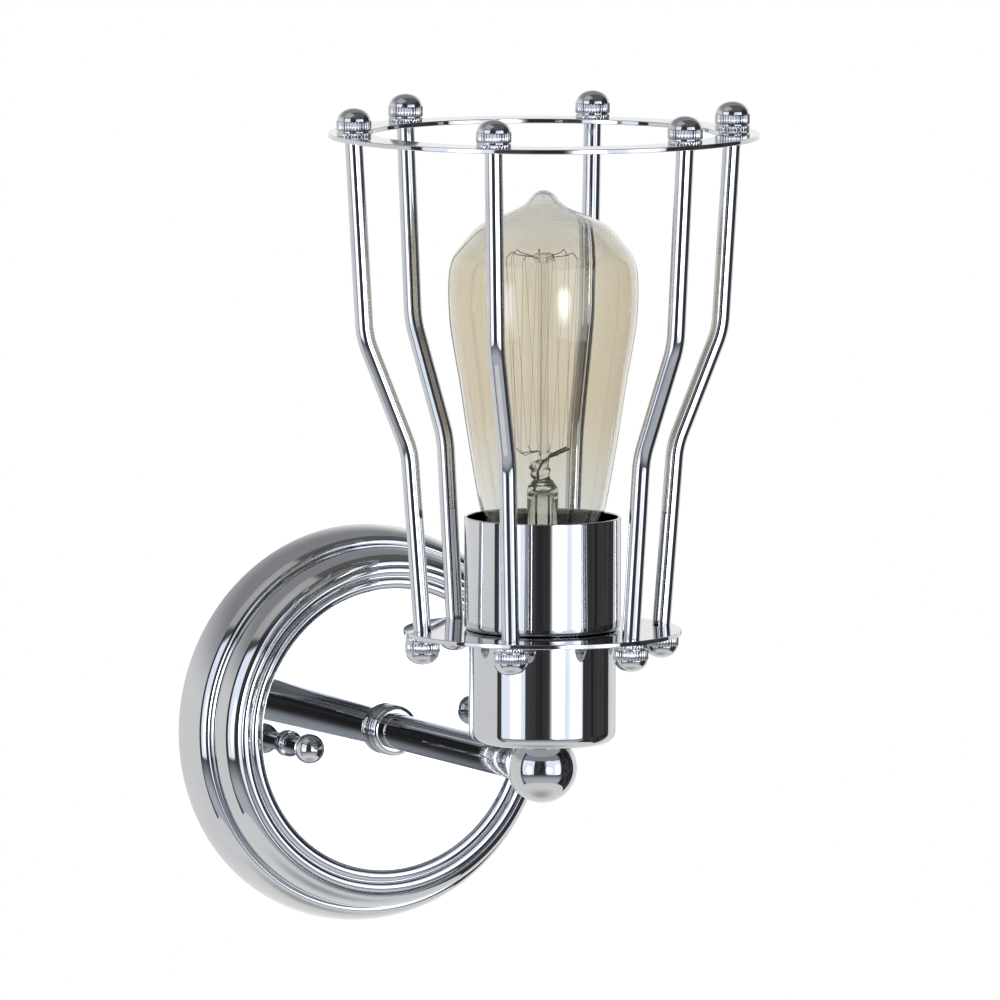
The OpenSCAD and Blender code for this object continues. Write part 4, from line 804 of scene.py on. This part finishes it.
leadPaths = []
for stops, turn in ((wires["leadOne"], 0), (wires["leadTwo"], wires["turn"])):
    leadEnd = aroundAxis([(wires["lowRadius"] - leadGap, lowThread)], turn)
    leadPaths.append(smoothPath(list(stops) + leadEnd, 5))
leadWires = movePiece(tubePiece("leadInWires", leadPaths, wires["leadWide"], 3), axis)
finishPiece(leadWires, flamedNickel, "bulb", ["lead_in_wires"], sharp=60)
print("wires in the bulb done")

# cap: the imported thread, merged and smoothed
bulbCap = copyPiece(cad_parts["bulb_cap"], "bulbCap")
for key in list(bulbCap.keys()):
    del bulbCap[key]
bulbCap.parent = None
openMesh(bulbCap)
bpy.ops.mesh.remove_doubles(threshold=0.00001)
bpy.ops.mesh.tris_convert_to_quads()
closeMesh()
smoothing = bulbCap.modifiers.new("smoothing", "SUBSURF")
smoothing.levels = smoothing.render_levels = 1
bpy.ops.object.modifier_apply(modifier=smoothing.name)
finishPiece(bulbCap, nickelledCap, "bulb", ["bulb_cap"], sharp=60)
print("cap done")

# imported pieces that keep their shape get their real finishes
keptFinishes = {
    "mounting_strap": zincPlate, "mounting_studs": zincPlate, "stud_nuts": zincPlate,
    "ground_screw": greenZinc,
    "arm_locknut": yellowZinc, "arm_washer": zincPlate, "cup_nipple": yellowZinc, "cup_locknut": yellowZinc,
    "socket_bracket": zincPlate, "bracket_screws": zincPlate, "socket_body": glazedPorcelain,
    "socket_screw_shell": rolledBrass, "socket_contact": springBronze, "terminal_screws": rolledBrass,
    "socket_ring": mouldedPhenolic, "lead_wire_black": blackInsulation, "lead_wire_white": whiteInsulation,
    "cap_insulator": blackGlass, "cap_contact": tinSolder,
}
for node, material in keptFinishes.items():
    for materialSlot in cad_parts[node].material_slots:
        materialSlot.material = material
print("packed pieces finished")

# studio: white paper behind, a dark room in front painted on a sphere that only mirrors see, two softboxes;
# places are turns to the camera's right
studio = {
    "centre": (0, -0.12, 0.08), "away": 1.6, "roomRadius": 3.0, "roomEdge": 0.5, "softStrength": 0.62,
    "roomTones": ("#2B2A2C", "#545254", "#6E6F72", "#D2D6DE"),   # painted shade and light on folds, a painted lighter ceiling, a painted table reflection
    "foldShadeScale": 1.3, "roomCeiling": (1.6, 2.2),   # where the painted ceiling's tone begins and where it is full
    "tableReflectionHeights": (-0.7, -1.6), "tableReflectionSides": (0.75, 1.15),   # where the painted table reflection in front lightens, and its sides
    "paperShadeTone": "#A2A3A5", "skyRise": (0.12, 0.7),   # painted shade: in mirrors the paper above shows grey, as it is further from the lamps
    "floor": -2.0, "floorWide": 30,   # a wall light hangs about this high
    "floorTones": ("#E9E9E8", "#E3E3E2"), "speckScale": 400.0, "mattSpread": 1.3,   # matt under the light
}
softWhite = {"colour": "#EAF1FF", "strength": 1.6, "lamp": 0.8}
cards = {   # turns and rises in degrees; fades of left, right, low and high edge and core as shares
    "leftSoftbox": {
        "turns": (-68, -25), "rises": (-20, 36), **softWhite, "fades": (0.04, 0.03, 0.04, 0.1),
        "core": (0.6, 0.29), "coreSize": (0.26, 0.26), "coreStrength": 8.0,
    },
    "rightSoftbox": {
        "turns": (9, 68), "rises": (-20, 31), **softWhite, "fades": (0.22, 0.03, 0.04, 0.1),
        "core": (0.76, 0.27), "coreSize": (0.24, 0.55), "coreStrength": 3.4,
    },
    "lampFace": {   # painted highlight: the lamp seen through the right softbox's cloth, glowing only in mirrors and lighting nothing
        "turns": (11, 39), "rises": (-17, 9), "colour": "#FFFFFF", "strength": 2.0, "lamp": 0,
        "fades": (0.4, 0.4, 0.4, 0.4), "core": (0.5, 0.5), "coreSize": (0.5, 0.45), "coreStrength": 16.0,
    },
    "highPanel": {   # painted reflection: lit paper over the left softbox, a glowing card that only mirrors see
        "turns": (-100, -18), "rises": (38, 84), "colour": "#FFFDFA", "strength": 0.6, "lamp": 0,
        "fades": (0.1, 0.1, 0.1, 0.1), "core": (0.5, 0.5), "coreSize": (0.4, 0.4), "coreStrength": 0.7,
    },
    "rimShadeCard": {   # painted shade: a dark card just below the horizon behind, seen only in mirrors, for a thin dark line at the rims
        "turns": (160, 200), "rises": (-20, -1), "colour": "#3A3A3C", "strength": 1.0, "lamp": 0,
        "fades": (0.3, 0.3, 0.4, 0.03), "core": (0.5, 0.5), "coreSize": (0.5, 0.5), "coreStrength": 1.0,
    },
}


def cardPlace(first, last, low, high):   # place, turn and size of a card that spans these angles
    middle = math.radians(shot["turn"] + (first + last) / 2)
    rise = math.radians((low + high) / 2)
    away = studio["away"]
    place = Vector(studio["centre"]) + away * Vector((
        math.sin(middle) * math.cos(rise), -math.cos(middle) * math.cos(rise), math.sin(rise)))
    width = 2 * away * math.cos(rise) * math.tan(math.radians((last - first) / 2))
    height = 2 * away * math.tan(math.radians((high - low) / 2))
    return place, (math.pi / 2 - rise, 0, middle), width, height


def showOnlyInMirrors(piece):
    piece.visible_camera = piece.visible_diffuse = piece.visible_transmission = piece.visible_shadow = False


# each card glows only in mirrors: the softboxes' lamp faces, and painted highlight, painted reflection and
# painted shade for the rest
for name, card in cards.items():
    place, turn, width, height = cardPlace(*card["turns"], *card["rises"])
    if card["lamp"]:
        bpy.ops.object.light_add(type="AREA", location=place, rotation=turn)
        lamp = bpy.context.object
        lamp.name = name + "Lamp"
        lamp.data.shape = "RECTANGLE"
        lamp.data.size, lamp.data.size_y = width, height
        lamp.data.energy = card["lamp"] * math.pi * width * height
        lamp.data.color = linear(card["colour"])[:3]
        lamp.visible_camera = lamp.visible_glossy = lamp.visible_transmission = False
    bpy.ops.object.select_all(action="DESELECT")
    bpy.ops.mesh.primitive_plane_add(size=1)
    sheet = bpy.context.object
    sheet.name = name
    sheet.scale = (width, height, 1)
    sheet.rotation_euler = turn
    sheet.location = place
    settle()
    mirrorCardGlow = bareMaterial(name + "Cloth")
    tree = mirrorCardGlow.node_tree
    flat = addNode(tree, "ShaderNodeTexCoord").outputs["UV"]
    apart = addNode(tree, "ShaderNodeSeparateXYZ", {0: flat})
    left, right, low, high = card["fades"]
    covered = None
    for part, atEdge, full in (("X", 0, left), ("X", 1, 1 - right), ("Y", 0, low), ("Y", 1, 1 - high)):
        fade = addNode(tree, "ShaderNodeMapRange", {
            "Value": apart.outputs[part], "From Min": atEdge, "From Max": full,
        }, interpolation_type="SMOOTHSTEP").outputs[0]
        covered = fade if covered is None else addNode(
            tree, "ShaderNodeMath", {0: covered, 1: fade}, operation="MULTIPLY").outputs[0]
    (coreWide, coreHigh), (coreX, coreY) = card["coreSize"], card["core"]
    fromCore = addNode(tree, "ShaderNodeMapping", {
        "Vector": flat, "Location": (-coreX / coreWide, -coreY / coreHigh, 0),
        "Scale": (1 / coreWide, 1 / coreHigh, 1),
    })
    distance = addNode(tree, "ShaderNodeVectorMath", {0: fromCore.outputs[0]}, operation="LENGTH")
    bright = addNode(tree, "ShaderNodeMapRange", {
        "Value": distance.outputs["Value"], "To Min": card["coreStrength"], "To Max": card["strength"],
    }, interpolation_type="SMOOTHSTEP")
    glow = addNode(tree, "ShaderNodeEmission", {
        "Color": linear(card["colour"]), "Strength": bright.outputs[0],
    })
    clear = addNode(tree, "ShaderNodeBsdfTransparent")
    faded = addNode(tree, "ShaderNodeMixShader", {0: covered, 1: clear.outputs[0], 2: glow.outputs[0]})
    addNode(tree, "ShaderNodeOutputMaterial", {"Surface": faded.outputs[0]})
    sheet.data.materials.append(mirrorCardGlow)
    showOnlyInMirrors(sheet)

# painted reflection: a glowing sphere that only mirrors see, painted as a dark room with shaded folds, a
# lighter ceiling and a lit table in front; it lights nothing
bpy.ops.object.select_all(action="DESELECT")
bpy.ops.mesh.primitive_uv_sphere_add(
    segments=64, ring_count=32, radius=studio["roomRadius"], location=studio["centre"])
darkRoom = bpy.context.object
darkRoom.name = "darkRoom"
bpy.ops.object.transform_apply(location=True)
openMesh(darkRoom)
bpy.ops.mesh.bisect(plane_co=(0, studio["roomEdge"], 0), plane_no=(0, 1, 0), clear_outer=True)
closeMesh()
roomReflectionPaint = bareMaterial("darkRoomReflectionPaint")
tree = roomReflectionPaint.node_tree
roomPlace = addNode(tree, "ShaderNodeTexCoord").outputs["Object"]
roomHeight = addNode(tree, "ShaderNodeSeparateXYZ", {0: roomPlace}).outputs["Z"]
# painted shade and light on the room's folds
foldShadePattern = addNode(tree, "ShaderNodeTexNoise", {
    "Vector": roomPlace, "Scale": studio["foldShadeScale"], "Detail": 3.0,
})
depth = addNode(tree, "ShaderNodeMapRange", {"Value": foldShadePattern.outputs[0], "From Min": 0.35, "From Max": 0.65})
walls = addNode(tree, "ShaderNodeMix", {
    0: depth.outputs[0], 6: linear(studio["roomTones"][0]), 7: linear(studio["roomTones"][1]),
}, data_type="RGBA")
upward = addNode(tree, "ShaderNodeMapRange", {
    "Value": roomHeight, "From Min": studio["roomCeiling"][0], "From Max": studio["roomCeiling"][1],
}, interpolation_type="SMOOTHSTEP")
roof = addNode(tree, "ShaderNodeMix", {
    0: upward.outputs[0], 6: walls.outputs[2], 7: linear(studio["roomTones"][2]),
}, data_type="RGBA")
# painted table reflection: lighter low down in front
roomFront = (math.sin(math.radians(shot["turn"])), -math.cos(math.radians(shot["turn"])), 0)
ahead = addNode(tree, "ShaderNodeVectorMath", {0: roomPlace, 1: roomFront}, operation="DOT_PRODUCT")
inFront = addNode(tree, "ShaderNodeMapRange", {
    "Value": ahead.outputs["Value"], "From Min": studio["tableReflectionSides"][0], "From Max": studio["tableReflectionSides"][1],
}, interpolation_type="SMOOTHSTEP")
downward = addNode(tree, "ShaderNodeMapRange", {
    "Value": roomHeight, "From Min": studio["tableReflectionHeights"][0], "From Max": studio["tableReflectionHeights"][1],
}, interpolation_type="SMOOTHSTEP")
tableReflectionShare = addNode(tree, "ShaderNodeMath", {
    0: inFront.outputs[0], 1: downward.outputs[0],
}, operation="MULTIPLY")
tone = addNode(tree, "ShaderNodeMix", {
    0: tableReflectionShare.outputs[0], 6: roof.outputs[2], 7: linear(studio["roomTones"][3]),
}, data_type="RGBA")
glow = addNode(tree, "ShaderNodeEmission", {"Color": tone.outputs[2], "Strength": 1.0})
addNode(tree, "ShaderNodeOutputMaterial", {"Surface": glow.outputs[0]})
darkRoom.data.materials.append(roomReflectionPaint)
showOnlyInMirrors(darkRoom)


def seenRays(tree):   # 1 for what camera, mirrors and glass see, 0 for what lights the object
    path = addNode(tree, "ShaderNodeLightPath")
    both = addNode(tree, "ShaderNodeMath", {
        0: path.outputs["Is Camera Ray"], 1: path.outputs["Is Glossy Ray"],
    }, operation="MAXIMUM")
    return addNode(tree, "ShaderNodeMath", {
        0: both.outputs[0], 1: path.outputs["Is Transmission Ray"],
    }, operation="MAXIMUM").outputs[0]


room = bpy.data.worlds.new("whiteRoom")
bpy.context.scene.world = room
room.use_nodes = True
tree = room.node_tree
tree.nodes.clear()
soft = addNode(tree, "ShaderNodeBackground", {"Color": (1, 1, 1, 1), "Strength": studio["softStrength"]})
# painted shade: only mirrors see the paper grow grey upwards
skyward = addNode(tree, "ShaderNodeMapRange", {
    "Value": addNode(tree, "ShaderNodeSeparateXYZ", {
        0: addNode(tree, "ShaderNodeTexCoord").outputs["Generated"],
    }).outputs["Z"],
    "From Min": studio["skyRise"][0], "From Max": studio["skyRise"][1],
}, interpolation_type="SMOOTHSTEP")
inMirrors = addNode(tree, "ShaderNodeMath", {
    0: skyward.outputs[0], 1: addNode(tree, "ShaderNodeLightPath").outputs["Is Glossy Ray"],
}, operation="MULTIPLY")
sky = addNode(tree, "ShaderNodeMix", {
    0: inMirrors.outputs[0], 6: (1, 1, 1, 1), 7: linear(studio["paperShadeTone"]),
}, data_type="RGBA")
shown = addNode(tree, "ShaderNodeBackground", {"Color": sky.outputs[2], "Strength": 1.0})
mixed = addNode(tree, "ShaderNodeMixShader", {0: seenRays(tree), 1: soft.outputs[0], 2: shown.outputs[0]})
addNode(tree, "ShaderNodeOutputWorld", {"Surface": mixed.outputs[0]})

bpy.ops.object.select_all(action="DESELECT")
bpy.ops.mesh.primitive_plane_add(size=studio["floorWide"], location=(0, 0, studio["floor"]))
floor = bpy.context.object
floor.name = "paleFloor"
bpy.ops.object.transform_apply(location=True)
paint = bareMaterial("paleFloorPaint")
tree = paint.node_tree
place = addNode(tree, "ShaderNodeTexCoord").outputs["Object"]
level = addNode(tree, "ShaderNodeVectorMath", {0: place, 1: (1, 1, 0)}, operation="MULTIPLY")
spread = addNode(tree, "ShaderNodeVectorMath", {0: level.outputs[0]}, operation="LENGTH")
edge = addNode(tree, "ShaderNodeMapRange", {
    "Value": spread.outputs["Value"], "From Min": 0.0, "From Max": studio["mattSpread"],
}, interpolation_type="SMOOTHSTEP")
reach = addNode(tree, "ShaderNodeMath", {0: edge.outputs[0], 1: seenRays(tree)}, operation="MULTIPLY")
speck = addNode(tree, "ShaderNodeTexNoise", {
    "Vector": place, "Scale": studio["speckScale"], "Detail": 2.0,
})
tint = addNode(tree, "ShaderNodeMix", {
    0: speck.outputs[0], 6: linear(studio["floorTones"][0]), 7: linear(studio["floorTones"][1]),
}, data_type="RGBA")
matt = addNode(tree, "ShaderNodeBsdfDiffuse", {"Color": tint.outputs[2]})
bright = addNode(tree, "ShaderNodeEmission", {"Color": (1, 1, 1, 1), "Strength": 1.0})
blend = addNode(tree, "ShaderNodeMixShader", {0: reach.outputs[0], 1: matt.outputs[0], 2: bright.outputs[0]})
addNode(tree, "ShaderNodeOutputMaterial", {"Surface": blend.outputs[0]})
floor.data.materials.append(paint)
print("studio lit")
